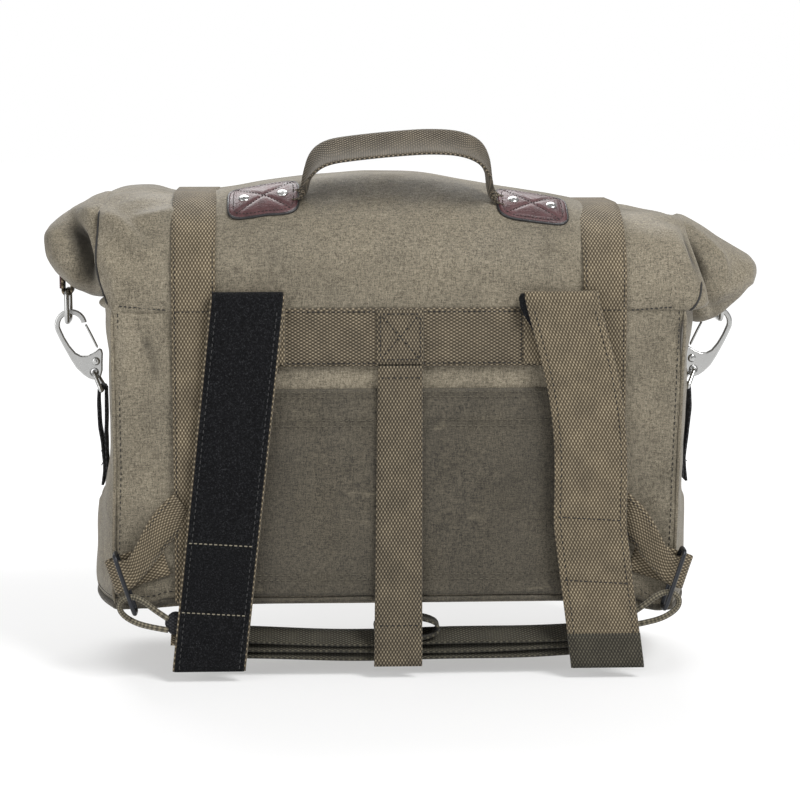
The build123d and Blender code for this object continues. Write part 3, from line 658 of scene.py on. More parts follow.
# %% [markdown]
# Folds on the sleeve: the ridges that run down from the shoulders, the deep fold in the middle of each ear,
# and the creases beside the closure straps. Slack is kept small in the middle of the back, which the load
# pulls tight, and larger at the ends.
# %% Folds of the sleeve
SLEEVE_FOLDS = [
    ([(-208, 86), (-190, 76), (-172, 60)], (4, 5.5), 6.5),
    ([(-206, 78), (-192, 64), (-180, 50)], (5, 7), -3.4),
    ([(-180, 78), (-164, 80), (-150, 84)], (4, 5), 5.0),
    ([(-180, 88), (-168, 90), (-156, 92)], 6, -3.0),
    ([(-186, 50), (-176, 36), (-170, 24)], 6, 2.4),
    ([(-199, 78), (-203, 52), (-199, 32), (-193, 22)], 3.2, -3.4),
    ([(-225, 79), (-217, 66), (-211, 48), (-210, 30)], (3.2, 9.5), -19),
    ([(-205, 74), (-203, 58), (-204, 42)], 4.0, 4.0),
    ([(-214, 90), (-232, 82), (-240, 66), (-232, 48)], 6, 3.0),
    ([(-219, 88), (-211, 82), (-204, 70)], 3.0, 4.0),
    ([(-212, 34), (-228, 36), (-238, 46)], 7, 3.0),
    ([(160, 70), (176, 62), (188, 50)], 7, 2.6),
    ([(176, 78), (186, 66), (190, 52)], 5, 2.8),
    ([(120, 62), (116, 46), (120, 30)], 8, -1.6),
    ([(197, 72), (201, 59), (207, 44), (211, 30)], (8, 2.8), -13),
    ([(188, 79), (199, 74), (214, 63), (225, 51), (228, 38)], 3.2, 4.5),
    ([(196, 84), (216, 76), (236, 62)], 3.5, 3.0),
    ([(222, 70), (236, 56), (240, 44)], 5, -3.5),
    ([(190, 66), (196, 50), (204, 38)], 4.0, 2.5),
    ([(205, 30), (222, 14), (238, 20)], 5.0, -3.2),
    ([(206, 10), (226, 8), (240, 20)], 4.0, 2.4),
    ([(-90, 60), (-30, 66), (60, 58)], 16, 1.6),
    ([(-110, 30), (-60, 38), (0, 34)], 10, -1.4),
]
ends = ease((np.abs(rows[..., 0]) - 90) / 90)
cloth = (1.1 + 2.2 * ends) * slack(rows, 52, 1.3) + (0.35 + 0.9 * ends) * slack(rows, 19, 5.2)
under_strap = np.exp(-(((np.abs(rows[..., 0]) - 139) / 20) ** 4))
hold = ease((rows[..., 2] - SEAM_Z) / 14) * (1 - 0.7 * under_strap)
rows = rows + out * (cloth * hold)[..., None]
rows, depth = press_folds(rows, out, SLEEVE_FOLDS)
FRONT_FOLDS = [
    ([(-186, 60), (-120, 52), (0, 50), (120, 50), (186, 46)], 5, -2.0),
    ([(-188, 82), (-150, 76), (-110, 80)], 6, 2.0),
    ([(110, 74), (150, 70), (188, 62)], 6, 2.2),
]
rows, _ = press_folds(rows, out, FRONT_FOLDS, (0, 1, 0))
rows = rows + out * 0.9
sleeve_cloth = rows_to_mesh("roll_top_sleeve_canvas", rows, CANVAS, closed_rows=True)
# Painted shade in the sleeve's creases.
shade_creases(sleeve_cloth, depth)
soften(sleeve_cloth)
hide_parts("upper_back", "upper_front", "rolled_mouth", "left_roll_end", "right_roll_end")
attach(sleeve_cloth, "bag")
print("sleeve canvas:", len(sleeve_cloth.data.polygons), "faces")

# %% [markdown]
# Straps are drawn as they are made: a ribbon with soft edges, swept along a line. The line gives the middle of
# the strap, and a half-width vector says which way it lies. Lines are drawn with few points, then rounded by
# cutting their corners, which keeps them inside the drawn shape.
# %% Lines, straps and wires


def rounded(points, step=3.0, closed=False, cuts=3):
    """A line with its corners cut, then spaced evenly."""
    line = np.array(points, float)
    for _ in range(cuts):
        after = np.roll(line, -1, 0) if closed else line[1:]
        here = line if closed else line[:-1]
        cut = np.stack([0.75 * here + 0.25 * after, 0.25 * here + 0.75 * after], 1).reshape(-1, line.shape[1])
        line = cut if closed else np.vstack([line[:1], cut, line[-1:]])
    if closed:
        line = np.vstack([line, line[:1]])
    reach = np.concatenate([[0], np.cumsum(np.linalg.norm(np.diff(line, axis=0), axis=1))])
    count = max(3, int(reach[-1] / step) + 1)
    at = np.linspace(0, reach[-1], count + (1 if closed else 0))
    line = np.column_stack([np.interp(at, reach, column) for column in line.T])
    return line[:-1] if closed else line


def lengths(line):
    return np.concatenate([[0], np.cumsum(np.linalg.norm(np.diff(line, axis=0), axis=1))])


TOP = (-0.97, -0.6, -0.2, 0.2, 0.6, 0.97)
STRAP_SECTION = np.array([(-1, 0)] + [(a, 0.5) for a in TOP] + [(1, 0)] + [(a, -0.5) for a in TOP[::-1]])


def ribbon(name, line, half, thick, finish, curl=0.0, closed=False):
    """A band along a line, with half-width vectors."""
    line = np.array(line, float)
    half = np.broadcast_to(np.array(half, float), line.shape)
    ahead = np.roll(line, -1, 0) - np.roll(line, 1, 0) if closed else np.gradient(line, axis=0)
    up = unit(np.cross(unit(ahead), half))
    a, b = STRAP_SECTION.T
    bow = thick * b + curl * (1 - a * a)
    rows = line[:, None] + half[:, None] * a[None, :, None] + up[:, None] * bow[None, :, None]
    wide = np.linalg.norm(half, axis=1)
    uvs = np.dstack([wide[:, None] * a[None], np.repeat(lengths(line)[:, None], len(a), 1)])
    return rows_to_mesh(name, rows, finish, closed_rows=True, closed_run=closed, caps=not closed, uvs=uvs)


def strap(name, line, half, thick, finish, body="bag", slot="webbing", nodes=(), **shape):
    """A ribbon that rides on a body."""
    return dress(ribbon(name, line, half, thick, finish, **shape), body, slot, nodes)


def dress(piece, body, slot, nodes=()):
    """Puts a finished piece on its body, and hides the CAD nodes that it stands for."""
    if nodes:
        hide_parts(*nodes)
    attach(piece, body)
    return piece


def once(sign, node):
    """The left piece stands for a node that both sides share."""
    return [node] if sign < 0 else ()


def wire(name, line, radius, finish, body, slot, closed=False, nodes=(), sides=16):
    """Round bar bent along a line. Open ends are rounded off."""
    line = np.array(line, float)
    ahead = unit(np.roll(line, -1, 0) - np.roll(line, 1, 0) if closed else np.gradient(line, axis=0))
    side = np.cross(ahead[0], (0.31, 0.87, 0.39))
    frames = []
    for t in ahead:
        side = unit(side - t * (side @ t))
        frames.append((side, np.cross(t, side)))
    frames = np.array(frames)
    if closed:  # share out the twist left over after one turn
        back = unit(frames[-1][0] - ahead[0] * (frames[-1][0] @ ahead[0]))
        twist = math.atan2(frames[0][1] @ back, frames[0][0] @ back)
        turns = -twist * np.arange(len(line)) / len(line)
    else:
        turns = np.zeros(len(line))
    radius = np.broadcast_to(np.array(radius, float), len(line)).copy()
    if not closed:
        reach = lengths(line)
        for end in (reach, reach[-1] - reach):
            radius *= np.sqrt(np.clip(1 - (1 - np.clip(end / radius.max(), 0, 1)) ** 2, 0.03, 1))
    angle = np.linspace(0, 2 * math.pi, sides, endpoint=False)[None] + turns[:, None]
    rows = line[:, None] + radius[:, None, None] * (
        np.cos(angle)[..., None] * frames[:, None, 0] + np.sin(angle)[..., None] * frames[:, None, 1]
    )
    piece = rows_to_mesh(name, rows, finish, closed_rows=True, closed_run=closed, caps=not closed)
    return dress(piece, body, slot, nodes)


def evenly(a, b, step=3.0):
    """Evenly spaced points from a to b."""
    a, b = np.array(a, float), np.array(b, float)
    count = max(2, int(np.linalg.norm(b - a) / step) + 1)
    return a + (b - a) * np.linspace(0, 1, count)[:, None]


print("strap and wire tools ready")

# %% [markdown]
# Thread shows as a row of short raised dashes. Each stitch is a small spindle half sunk in the cloth. One
# function lays rows of them along lines, all in one mesh.
# %% Stitches
WAIST = [(x, y, z) for x in (-0.34, 0.34) for y, z in ((1, 0), (0, 1), (-1, 0), (0, -1))]
SPINDLE = np.array([(-0.5, 0, 0)] + WAIST + [(0.5, 0, 0)])
SPINDLE_FACES = [(0, 1 + (k + 1) % 4, 1 + k) for k in range(4)]
SPINDLE_FACES += [(1 + k, 1 + (k + 1) % 4, 5 + (k + 1) % 4, 5 + k) for k in range(4)]
SPINDLE_FACES += [(9, 5 + k, 5 + (k + 1) % 4) for k in range(4)]


def stitches(name, lines, finish, body="bag", slot="webbing", long=2.5, gap=1.5, thick=0.42):
    """Lays stitches along (line, normal) pairs."""
    points, faces = [], []
    for line, normal in lines:
        line = np.array(line, float)
        reach = lengths(line)
        normal = unit(np.broadcast_to(np.array(normal, float), line.shape))
        for start in np.arange(gap, reach[-1] - long, long + gap):
            ends = [np.array([np.interp(s, reach, c) for c in line.T]) for s in (start, start + long)]
            up = unit(np.array([np.interp(start + long / 2, reach, c) for c in normal.T]))
            run = unit(ends[1] - ends[0])
            axes = np.stack([(ends[1] - ends[0]), thick * np.cross(up, run), thick * up])
            faces += [[i + len(points) for i in face] for face in SPINDLE_FACES]
            points += (SPINDLE @ axes + (ends[0] + ends[1]) / 2).tolist()
    piece = make_mesh(name, points, faces, finish)
    return dress(piece, body, slot)


BACK = (0, -1, 0)

# %% [markdown]
# The outside of the cloth is needed again and again: straps, patches and stitches all lie on it. This gives a
# point on the sleeve by its place along the bag and its angle round the shoulder, lifted off the cloth.
# %% Places on the sleeve


def on_sleeve(x, angle, lift=0.0):
    """A point on the settled shoulder, by degrees from the crest, and the way out of the cloth there."""
    a = math.radians(angle)
    base = np.array([[SHOULDER_R - SHOULDER_R * math.sin(a), SHOULDER_Z + SHOULDER_R * math.cos(a)]])
    y, z = settle_height(x, base)[0]
    out_of = np.array([0, -math.sin(a), math.cos(a)])
    return np.array([x, y, z]) + out_of * (lift + 0.9)


def over_the_top(x, lift, front_z=0.0):
    """The line of a strap that goes up the back, over the roll and down the front."""
    yz = settle_height(x, PROFILE[:-3])
    yz = yz[yz[:, 1] > SEAM_Z + 4] if front_z > SEAM_Z else yz
    line = np.vstack([[(0, BASE_Z + 2)], [(0, SEAM_Z)], yz[1:], [(DEPTH, 40)], [(DEPTH, front_z)]])
    line = rounded(line, 3.0, cuts=2)
    out_of = unit(np.column_stack([np.gradient(line[:, 1]), -np.gradient(line[:, 0])]))
    line = line - out_of * lift
    return np.column_stack([np.full(len(line), x), line]), np.column_stack([np.zeros(len(line)), -out_of])


# %% [markdown]
# The back face, from the cloth outwards: the pocket, the yoke band and the closure straps. The pocket is a
# patch of heavier waxed canvas with a deep hem, and it bellies a little below it.
# %% The rear pocket
POCKET_LOW, POCKET_HIGH = box_mm("rear_pocket")
HEM_DEPTH = 24.0


def pocket_rows():
    """Front surface of the pocket, then its edges turned back to the panel."""
    x = np.linspace(POCKET_LOW[0], POCKET_HIGH[0], 70)
    z = np.linspace(POCKET_HIGH[2], POCKET_LOW[2], 54)
    grid_x, grid_z = np.meshgrid(x, z)
    across = np.sin(np.pi * (grid_x - x[0]) / (x[-1] - x[0])) ** 0.5
    belly = across * np.sin(np.pi * np.clip((z[0] - grid_z) / (z[0] - z[-1]), 0.02, 0.98)) ** 0.7
    points = np.dstack([grid_x, np.full_like(grid_x, -1.0), grid_z])
    folds = 0.5 * slack(points, 34, 9.1) + 0.3 * slack(points, 13, 2.2)
    hem = 0.5 * (grid_z > POCKET_HIGH[2] - HEM_DEPTH)
    ridge = 0.35 * np.exp(-(((grid_z - POCKET_HIGH[2] + HEM_DEPTH + 2.5) / 1.2) ** 2))
    points[..., 1] -= np.clip(0.9 * belly + folds * belly, 0, 1.6) + hem + ridge
    rim = points.copy()[[0, -1]]
    rim[..., 1] = 0.4
    points = np.vstack([rim[:1], points, rim[1:]])
    ends = points[:, [0, -1]].copy()
    ends[..., 1] = 0.4
    return np.hstack([ends[:, :1], points, ends[:, 1:]])


pocket = rows_to_mesh("rear_pocket_canvas", pocket_rows(), POCKET_CANVAS)
dress(pocket, "bag", "canvas", ["rear_pocket"])


def across_pocket(z, y=-2.5, reach=119.0):
    return evenly((-reach, y, z), (reach, y, z)), BACK


rows_z = [POCKET_HIGH[2] - d for d in (2.2, 5.5, HEM_DEPTH - 2.5, HEM_DEPTH + 1.5)]
stitches("pocket_hem_stitches", [across_pocket(z) for z in rows_z], WAXED_THREAD, slot="canvas", thick=0.3)
foot_z = [POCKET_LOW[2] + d for d in (14.5, 11.0)]
stitches("pocket_foot_stitches", [across_pocket(z, -1.6) for z in foot_z], WAXED_THREAD, slot="canvas", thick=0.3)
print("pocket done")

# %% [markdown]
# A welt runs round the bottom edge, where base and walls meet, and up the corners. It is a thin cord covered
# in canvas, so a tube along the outline does it. A dark line of stitches lies beside it.
# %% Welts and seams of the box


def welt_line(z, out_by):
    x = OUTLINE[:, 0] + lean_out(z) + out_by * OUTLINE[:, 2]
    y = OUTLINE[:, 1] + out_by * OUTLINE[:, 3]
    return drop_corners(np.column_stack([x, y, np.full(len(OUTLINE), z)]))


base_welt = welt_line(BASE_Z + 3.0, -0.9)
base_welt[:, 2] += 0.9 * slack(base_welt, 60, 4.0)
wire("base_welt", base_welt, 2.1, POCKET_CANVAS, "bag", "canvas", closed=True, sides=10)
corner_lines = []
for side, sign in SIDES:
    for y, out_y in ((1.2, -1), (DEPTH - 1.2, 1)):
        z = np.arange(BASE_Z + 5, SEAM_Z - 1, 4.0)
        near = np.argmin(np.hypot(OUTLINE[:, 0] - sign * (HALF_W - 1.4), OUTLINE[:, 1] - y))
        x = np.array([OUTLINE[near, 0] + lean_out(h)[near] for h in z])
        line = drop_corners(np.column_stack([x, np.full(len(z), y), z]))
        wire(f"{side}_corner_welt_{'back' if y < MID_Y else 'front'}", line, 1.25, CANVAS, "bag", "canvas", sides=10)
        corner_lines.append((line + (-sign * 4.2, out_y * 1.3, 0), (0, out_y, 0)))
stitches("corner_seam_stitches", corner_lines, DARK_THREAD, slot="canvas", thick=0.34)
loop = welt_line(BASE_Z + 9.5, -0.2)
loop = np.vstack([loop, loop[:1]])
loop_out = np.column_stack([np.vstack([OUTLINE[:, 2:], OUTLINE[:1, 2:]]), np.zeros(len(loop))])
stitches("base_seam_stitches", [(loop, loop_out)], DARK_THREAD, slot="canvas", thick=0.34)


def seam_height(x):
    """The sewn line between box and sleeve, which sags between the corner and the strap."""
    return np.interp(x, [-196, -154, -100, 0, 100, 149, 190], [24, 20.2, 21, 21.5, 20.5, 18.6, 21.5])


seam_lines = []
for first, last in ((-190, -156), (156, 188)):
    x = np.arange(first, last, 2.0)
    seam_lines.append((np.column_stack([x, np.full(len(x), -1.1), seam_height(x) - 1.5]), BACK))
x = np.arange(-186, 187, 3.0)
seam_lines.append((np.column_stack([x, np.full(len(x), DEPTH + 1.2), np.full(len(x), SEAM_Z - 1.0)]), (0, 1, 0)))
stitches("sleeve_seam_stitches", seam_lines, DARK_THREAD, slot="canvas", long=2.2, gap=1.0)


def laid_on(piece, line, sink=0.2):
    """Lays a line drawn in the XZ plane on the back of a piece."""
    found = []
    for x, z in rounded(line, 1.5):
        hit, place, normal, _ = piece.ray_cast(Vector((x, -300, z)) * MM, Vector((0, 1, 0)))
        if hit:
            found.append(np.array(place) / MM - np.array(normal) * sink)
    return np.array(found)


# Dark cords along the sleeve's sewn ends: the seam itself, and painted shade of the crease beside it.
EDGE_SEAM_SHADE_LINES = {
    "left": [(-203.5, 84), (-204.5, 66), (-205, 50), (-202, 34), (-197, 22)],
    "right": [(206, 36), (205, 27), (201, 20), (197, 17)],
}
bpy.context.view_layer.update()
for side, line in EDGE_SEAM_SHADE_LINES.items():
    wire(f"{side}_sleeve_edge_seam_and_shade", laid_on(sleeve_cloth, line), 0.8, DARK_THREAD, "bag", "canvas", sides=8)
print("welts and seams done")

# %% [markdown]
# Two closure straps run right round the bag, and the yoke band ties them together across the back. Both are
# sewn along their edges in dark thread, and a sewn box with a cross in it marks where the centre strap starts.
# %% Closure straps and yoke band
BAND_LOW, BAND_HIGH = box_mm("yoke_band")
closure_stitches = []
for side, sign in SIDES:
    low, high = box_mm(f"{side}_closure_strap")
    x, half = (low[0] + high[0]) / 2, (high[0] - low[0]) / 2
    line, out_of = over_the_top(x, 2.3)
    line[:, 1] += 0.35 * slack(line, 40, 6.0 + sign)
    strap(f"{side}_closure_webbing", line, (half, 0, 0), 1.8, WEBBING, nodes=[f"{side}_closure_strap"])
    on_panel = line[:, 2] < CREST_Z - 30
    on_panel &= line[:, 1] < MID_Y
    for edge in (-1, 1):
        closure_stitches.append((line[on_panel] + (edge * (half - 2.2), -0.95, 0), BACK))
    across = np.array([(x - half + 2, -3.4, SEAM_Z - 3), (x + half - 2, -3.4, SEAM_Z - 3)])
    closure_stitches.append((across, BACK))
stitches("closure_strap_stitches", closure_stitches, DARK_THREAD, long=2.2, gap=1.2, thick=0.36)

BAND_Y = -1.9
half_band = (BAND_HIGH[2] - BAND_LOW[2]) / 2
line = evenly((BAND_LOW[0], BAND_Y, 0), (BAND_HIGH[0], BAND_Y, 0), 4)
line[:, 1] += 0.25 * slack(line, 45, 3.3)
strap("yoke_band_webbing", line, (0, 0, half_band), 1.8, BAND_WEBBING, nodes=["yoke_band"])
face = BAND_Y - 1.0
box_x, box_z = 13.5, 17.5
band_stitches = [(evenly((-122, face, z), (122, face, z)), BACK) for z in (-box_z, box_z)]
for x in (-81, -78, 82):
    band_stitches.append((evenly((x, face, -box_z), (x, face, box_z)), BACK))
stitches("yoke_band_stitches", band_stitches, DARK_THREAD, long=2.2, gap=1.2)


def sewn_box(x, y, half_x, half_z, z=0.0):
    """The lines of a sewn box with a cross in it."""
    corner = [(x + a * half_x, y, z + b * half_z) for a, b in ((-1, -1), (1, -1), (1, 1), (-1, 1))]
    pairs = [(0, 1), (1, 2), (2, 3), (3, 0), (0, 2), (1, 3)]
    return [(evenly(corner[i], corner[j]), BACK) for i, j in pairs]


line = evenly((0, BAND_Y - 1.75, -half_band + 2), (0, BAND_Y - 1.75, half_band - 0.5), 3)
strap("centre_strap_end", line, (16, 0, 0), 1.6, BAND_WEBBING, nodes=["strap_ends"])
stitches("centre_box_stitches", sewn_box(0, BAND_Y - 2.65, box_x, 15.5, 0.6), DARK_THREAD, long=2.0, gap=1.2)
print("closure straps and band done")

# %% [markdown]
# The yoke straps go over the rider's seat. Each wide one is webbing faced with tape: loop pile on one, hooks
# on the other. At rest they are folded over at the band and hang down the back. The fold is a small bead
# about the hinge line, so the strap still meets its sewn end when it is turned up.
# %% Wide yoke straps
FOLD_Y, FOLD_Z, FOLD_R = -6.9, 27.0, 4.7
STRAP_END_Z = box_mm("left_yoke_strap")[0][2]
WEB_T, TAPE_T = 1.6, 1.2
WIDE_HALF = 25.0
WIDE_X = {"left": (-102.5, -131.0, 0.0), "right": (108.5, 142.5, 8.0)}


def wide_line(side, out_by, top=200, foot=-3.2):
    """Round the fold and down the back. out_by is the layer's middle, from the fold's centre."""
    top_x, foot_x, bow = WIDE_X[side]
    turn = np.radians(np.arange(-60, top, 15.0))
    fold = np.column_stack([FOLD_Y + out_by * np.cos(turn), FOLD_Z + out_by * np.sin(turn)])
    z = np.arange(FOLD_Z - 3, STRAP_END_Z + foot - 0.1, -4.0)
    hang = np.column_stack([np.full(len(z), FOLD_Y - out_by), z])
    yz = np.vstack([fold[turn <= math.pi], hang])
    share = np.clip((FOLD_Z - yz[:, 1]) / (FOLD_Z - STRAP_END_Z), 0, 1)
    x = top_x + (foot_x - top_x) * share + bow * np.sin(np.pi * np.clip(share / 0.62, 0, 1)) ** 1.2
    line = np.column_stack([x, yz])
    line[:, 1] += 0.5 * np.sin(3.4 * share * math.pi) * share
    return line


layers = {
    "left": ((FOLD_R - TAPE_T - WEB_T / 2, WEB_T), (FOLD_R - TAPE_T / 2, TAPE_T)),
    "right": ((FOLD_R - WEB_T / 2, WEB_T), (FOLD_R - WEB_T - TAPE_T / 2, TAPE_T)),
}
tape_node = {"left": "left_loop_tape", "right": "right_hook_tape"}
for side, sign in SIDES:
    body = f"{side}_yoke_strap"
    (web_at, web_t), (tape_at, tape_t) = layers[side]
    strap(f"{side}_yoke_webbing", wide_line(side, web_at), (WIDE_HALF, 0, 0), web_t, WEBBING, body, nodes=[body])
    face = PILE if side == "left" else HOOKS
    tape = wide_line(side, tape_at)
    if side == "right":  # the hook tape peeps out beside the fold
        tape[:, 0] -= 5.0 * np.exp(-(((tape[:, 2] - FOLD_Z + 6) / 12) ** 2))
    half = (WIDE_HALF - (1.2 if side == "left" else 0.6), 0, 0)
    strap(f"{side}_yoke_tape", tape, half, tape_t, face, body, "black_tape", nodes=[tape_node[side]])
    outer = FOLD_R + 0.05
    edges = wide_line(side, outer)[18:]
    crossings = []
    for z in (-142, -190) if side == "left" else (-124, -170, -218):
        near = edges[np.argmin(np.abs(edges[:, 2] - z))]
        crossings.append((evenly(near - (WIDE_HALF - 1.5, 0, -1.5), near + (WIDE_HALF - 1.5, 0, -1.5)), BACK))
    edge_rows = [(edges + (edge * (WIDE_HALF - 4.5), 0, 0), BACK) for edge in (-1, 1)]
    thread = GREY_THREAD if side == "left" else DARK_THREAD
    stitches(f"{side}_yoke_edge_stitches", edge_rows, thread, body, long=2.6, gap=1.6, thick=0.34)
    stitches(f"{side}_yoke_cross_stitches", crossings, TAN_THREAD if side == "left" else DARK_THREAD, body, long=2.4, gap=1.0)
# Painted shade: a sleeve of the shaded webbing round the foot of the right strap, where the strap darkens.
foot = wide_line("right", FOLD_R - WEB_T / 2)[-7:]
strap("right_yoke_end_shade_band", foot, (WIDE_HALF + 0.3, 0, 0), WEB_T + 0.7, SHADED_WEBBING, "right_yoke_strap")
for side, sign in SIDES:
    tail = evenly((WIDE_X[side][0], -3.9, -18), (WIDE_X[side][0], -3.9, 22), 4)
    strap(f"{side}_yoke_tail", tail, (WIDE_HALF, 0, 0), 1.6, WEBBING)
print("wide straps hang to", round(STRAP_END_Z, 1), "mm")

# %% [markdown]
# The centre strap is plain webbing, sewn at the band's lower edge. It turns up about that edge.
# %% Centre yoke strap
CENTRE_LOW, CENTRE_HIGH = box_mm("centre_yoke_strap")
centre_y = (CENTRE_LOW[1] + CENTRE_HIGH[1]) / 2
line = evenly((0, centre_y, CENTRE_HIGH[2]), (0, centre_y, CENTRE_LOW[2]), 4)
share = np.linspace(0, 1, len(line))
line[:, 1] -= 1.6 * share**2
line[:, 0] -= 1.5 * share
half = np.column_stack([15.2 + 1.4 * share, np.zeros(len(line)), np.zeros(len(line))])
strap("centre_yoke_webbing", line, half, 1.8, BAND_WEBBING, "centre_yoke_strap", nodes=["centre_yoke_strap"])
cross = [(line[k] + np.array([(-14.5, -1.0, 0), (14.5, -1.0, 0)]), BACK) for k in (2, -8)]
stitches("centre_yoke_stitches", cross, DARK_THREAD, "centre_yoke_strap")

# %% [markdown]
# The carry handle is webbing folded lengthwise, so it curls across its width. Its ends narrow and go under
# leather patches. The handle bends at its roots when it is lifted or laid down; here it is one fixed mesh that
# runs from its roots on the sleeve, past the hinge line and over the arch.
# %% Carry handle
HINGE = np.array([0.0, 30.0, 94.9])
LEAN = math.radians(30)
RISE = np.array([0, -math.sin(LEAN), math.cos(LEAN)])
ACROSS = np.array([0, -math.cos(LEAN), -math.sin(LEAN)])
HANDLE_LINE = [
    (-66, 1), (-64.5, 12), (-60, 25), (-50, 34), (-30, 37.5), (0, 41),
    (22, 42.5), (42, 41), (56, 34), (62.5, 21), (64, 8), (65.5, 0),
]
arch = [HINGE + (x, 0, 0) + RISE * h for x, h in HANDLE_LINE]
roots = [[on_sleeve(sign * x, 30, lift) for x, lift in ((84, 1.1), (74, 1.2), (69, 1.8))] for sign in (-1, 1)]
line = rounded(roots[0] + arch + roots[1][::-1], 2.5)
height = (line - HINGE) @ RISE
half_w = 6.0 + 9.5 * ease((height - 2) / 26)
handle = ribbon("carry_handle_webbing", line, ACROSS * half_w[:, None], 2.9, HANDLE_WEBBING, curl=3.0)
soften(handle)
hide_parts("carry_handle")
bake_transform(handle)
print("handle rises", round(float(height.max()), 1), "mm")

# %% [markdown]
# Each patch is a rounded tile of thick leather, wrapped over the shoulder. It is sewn round its border and
# corner to corner, and the leather swells between the lines. Rings of points inside a rounded outline give a
# smooth tile whose edge can be turned down and painted black.
# %% Leather patches and rivets
PATCH_HALF = (23.5, 18.5)
PATCH_T = 2.3
PATCH_TILT = {"left": 0.17, "right": -0.13}


def tile(name, half, place, height, finish, rings=16, spokes=80, power=5.0):
    """A rounded tile: place(u, v, lift) puts it on its ground, height(u, v) shapes its face."""
    angle = np.linspace(0, 2 * math.pi, spokes, endpoint=False)
    reach = (np.abs(np.cos(angle)) ** power + np.abs(np.sin(angle)) ** power) ** (-1 / power)
    edge_u, edge_v = half[0] * reach * np.cos(angle), half[1] * reach * np.sin(angle)
    rows = []
    for r in np.linspace(0.02, 1, rings):
        turned_down = 0.5 * max(0, r - 0.93) / 0.07
        rows.append([place(r * u, r * v, height(r * u, r * v) - turned_down) for u, v in zip(edge_u, edge_v)])
    rows.append([place(1.01 * u, 1.01 * v, 0.0) for u, v in zip(edge_u, edge_v)])
    piece = rows_to_mesh(name, np.array(rows), finish, closed_rows=True)
    rim = np.array([place(1.012 * u, 1.012 * v, 0.9) for u, v in zip(edge_u, edge_v)])
    return piece, rim, (edge_u, edge_v)


def quilted(u, v):
    """Height of the leather: sunk along the sewn lines and full between them."""
    a, b = u / PATCH_HALF[0], v / PATCH_HALF[1]
    lines = [abs(a - b) * 14, abs(a + b) * 14]
    inside = max(abs(a), abs(b))
    border = abs(inside - 0.87) * PATCH_HALF[0]
    sunk = sum(math.exp(-((d / 1.5) ** 2)) for d in lines if inside < 0.9) + 0.8 * math.exp(-((border / 1.2) ** 2))
    return PATCH_T + 0.7 * (1 - inside * inside) - 0.75 * min(1.0, sunk)


PATCH_X = {"left": -92.0, "right": 92.0}
RIVET_APART = 13.0
rivet_places = []
for side, sign in SIDES:

    def on_patch(u, v, lift, side=side):
        tilt = PATCH_TILT[side] * u
        return on_sleeve(PATCH_X[side] + u, 29 + math.degrees((-v - 0.3 * tilt) / SHOULDER_R), lift)

    patch, rim, (eu, ev) = tile(f"{side}_leather_patch", PATCH_HALF, on_patch, quilted, LEATHER)
    dress(patch, "bag", "leather", [f"{side}_handle_patch"])
    wire(f"{side}_patch_edge", rim, 1.0, EDGE_PAINT, "bag", "leather", closed=True, sides=8)
    up = on_patch(0, 0, 1) - on_patch(0, 0, 0)
    border = np.array([on_patch(0.87 * u, 0.87 * v, PATCH_T - 0.25) for u, v in zip(eu, ev)])
    sewn = [np.vstack([border, border[:1]])]
    for s in (-1, 1):
        spots = [(t * 19, t * s * 15) for t in np.linspace(-1, 1, 24)]
        sewn.append(np.array([on_patch(u, v, quilted(u, v) + 0.1) for u, v in spots]))
    sewn = [(line, up) for line in sewn]
    stitches(f"{side}_patch_stitches", sewn, DARK_THREAD, slot="leather", long=1.7, gap=0.9, thick=0.32)
    rivet_places += [(on_patch(k * RIVET_APART, 0, PATCH_T), up) for k in (-1, 1)]


def turned(name, profile, place, axis, finish, body, slot, nodes=(), spokes=28):
    """A lathe-turned part: (radius, height) points turned about an axis."""
    axis = unit(np.array(axis, float))
    side = unit(np.cross(axis, (0.3, 0.5, 0.8)))
    other = np.cross(axis, side)
    angle = np.linspace(0, 2 * math.pi, spokes, endpoint=False)
    circle = np.cos(angle)[:, None] * side + np.sin(angle)[:, None] * other
    rows = np.array([np.array(place) + axis * h + r * circle for r, h in profile])
    piece = rows_to_mesh(name, rows, finish, closed_rows=True)
    return dress(piece, body, slot, nodes)


RIVET = [(3.9, -0.6), (4.0, 0.2), (3.7, 0.7), (2.9, 1.15), (2.0, 1.4), (1.5, 1.3), (1.1, 1.45), (0.5, 1.62), (0.02, 1.66)]
for number, (place, up) in enumerate(rivet_places):
    nodes = ["handle_rivets"] if number == 0 else ()
    turned(f"handle_rivet_{number + 1}", RIVET, place, up, NICKEL, "bag", "nickel", nodes)
print("patches and", len(rivet_places), "rivets done")

# %% [markdown]
# A snap hook hangs at each side and clips to a ring under the ear, which holds the roll down. The cast hook is
# one flat outline with a rounded edge and an eye, so a filled curve with a bevel makes it. The gate is a
# thin wire lever on a rivet.
# %% Hooks and rings
HOOK_TILT = math.radians(25.6)
HOOK_FOOT = (211.3, -35.0)
CROOK_B, EYE_B = 40.0, 3.2


def hook_spot(sign, a, b, y=MID_Y):
    """A point in a hook's own axes: a towards the bag, b up the hook from its foot."""
    x = HOOK_FOOT[0] - a * math.cos(HOOK_TILT) + b * math.sin(HOOK_TILT)
    return np.array([sign * x, y, HOOK_FOOT[1] + a * math.sin(HOOK_TILT) + b * math.cos(HOOK_TILT)])


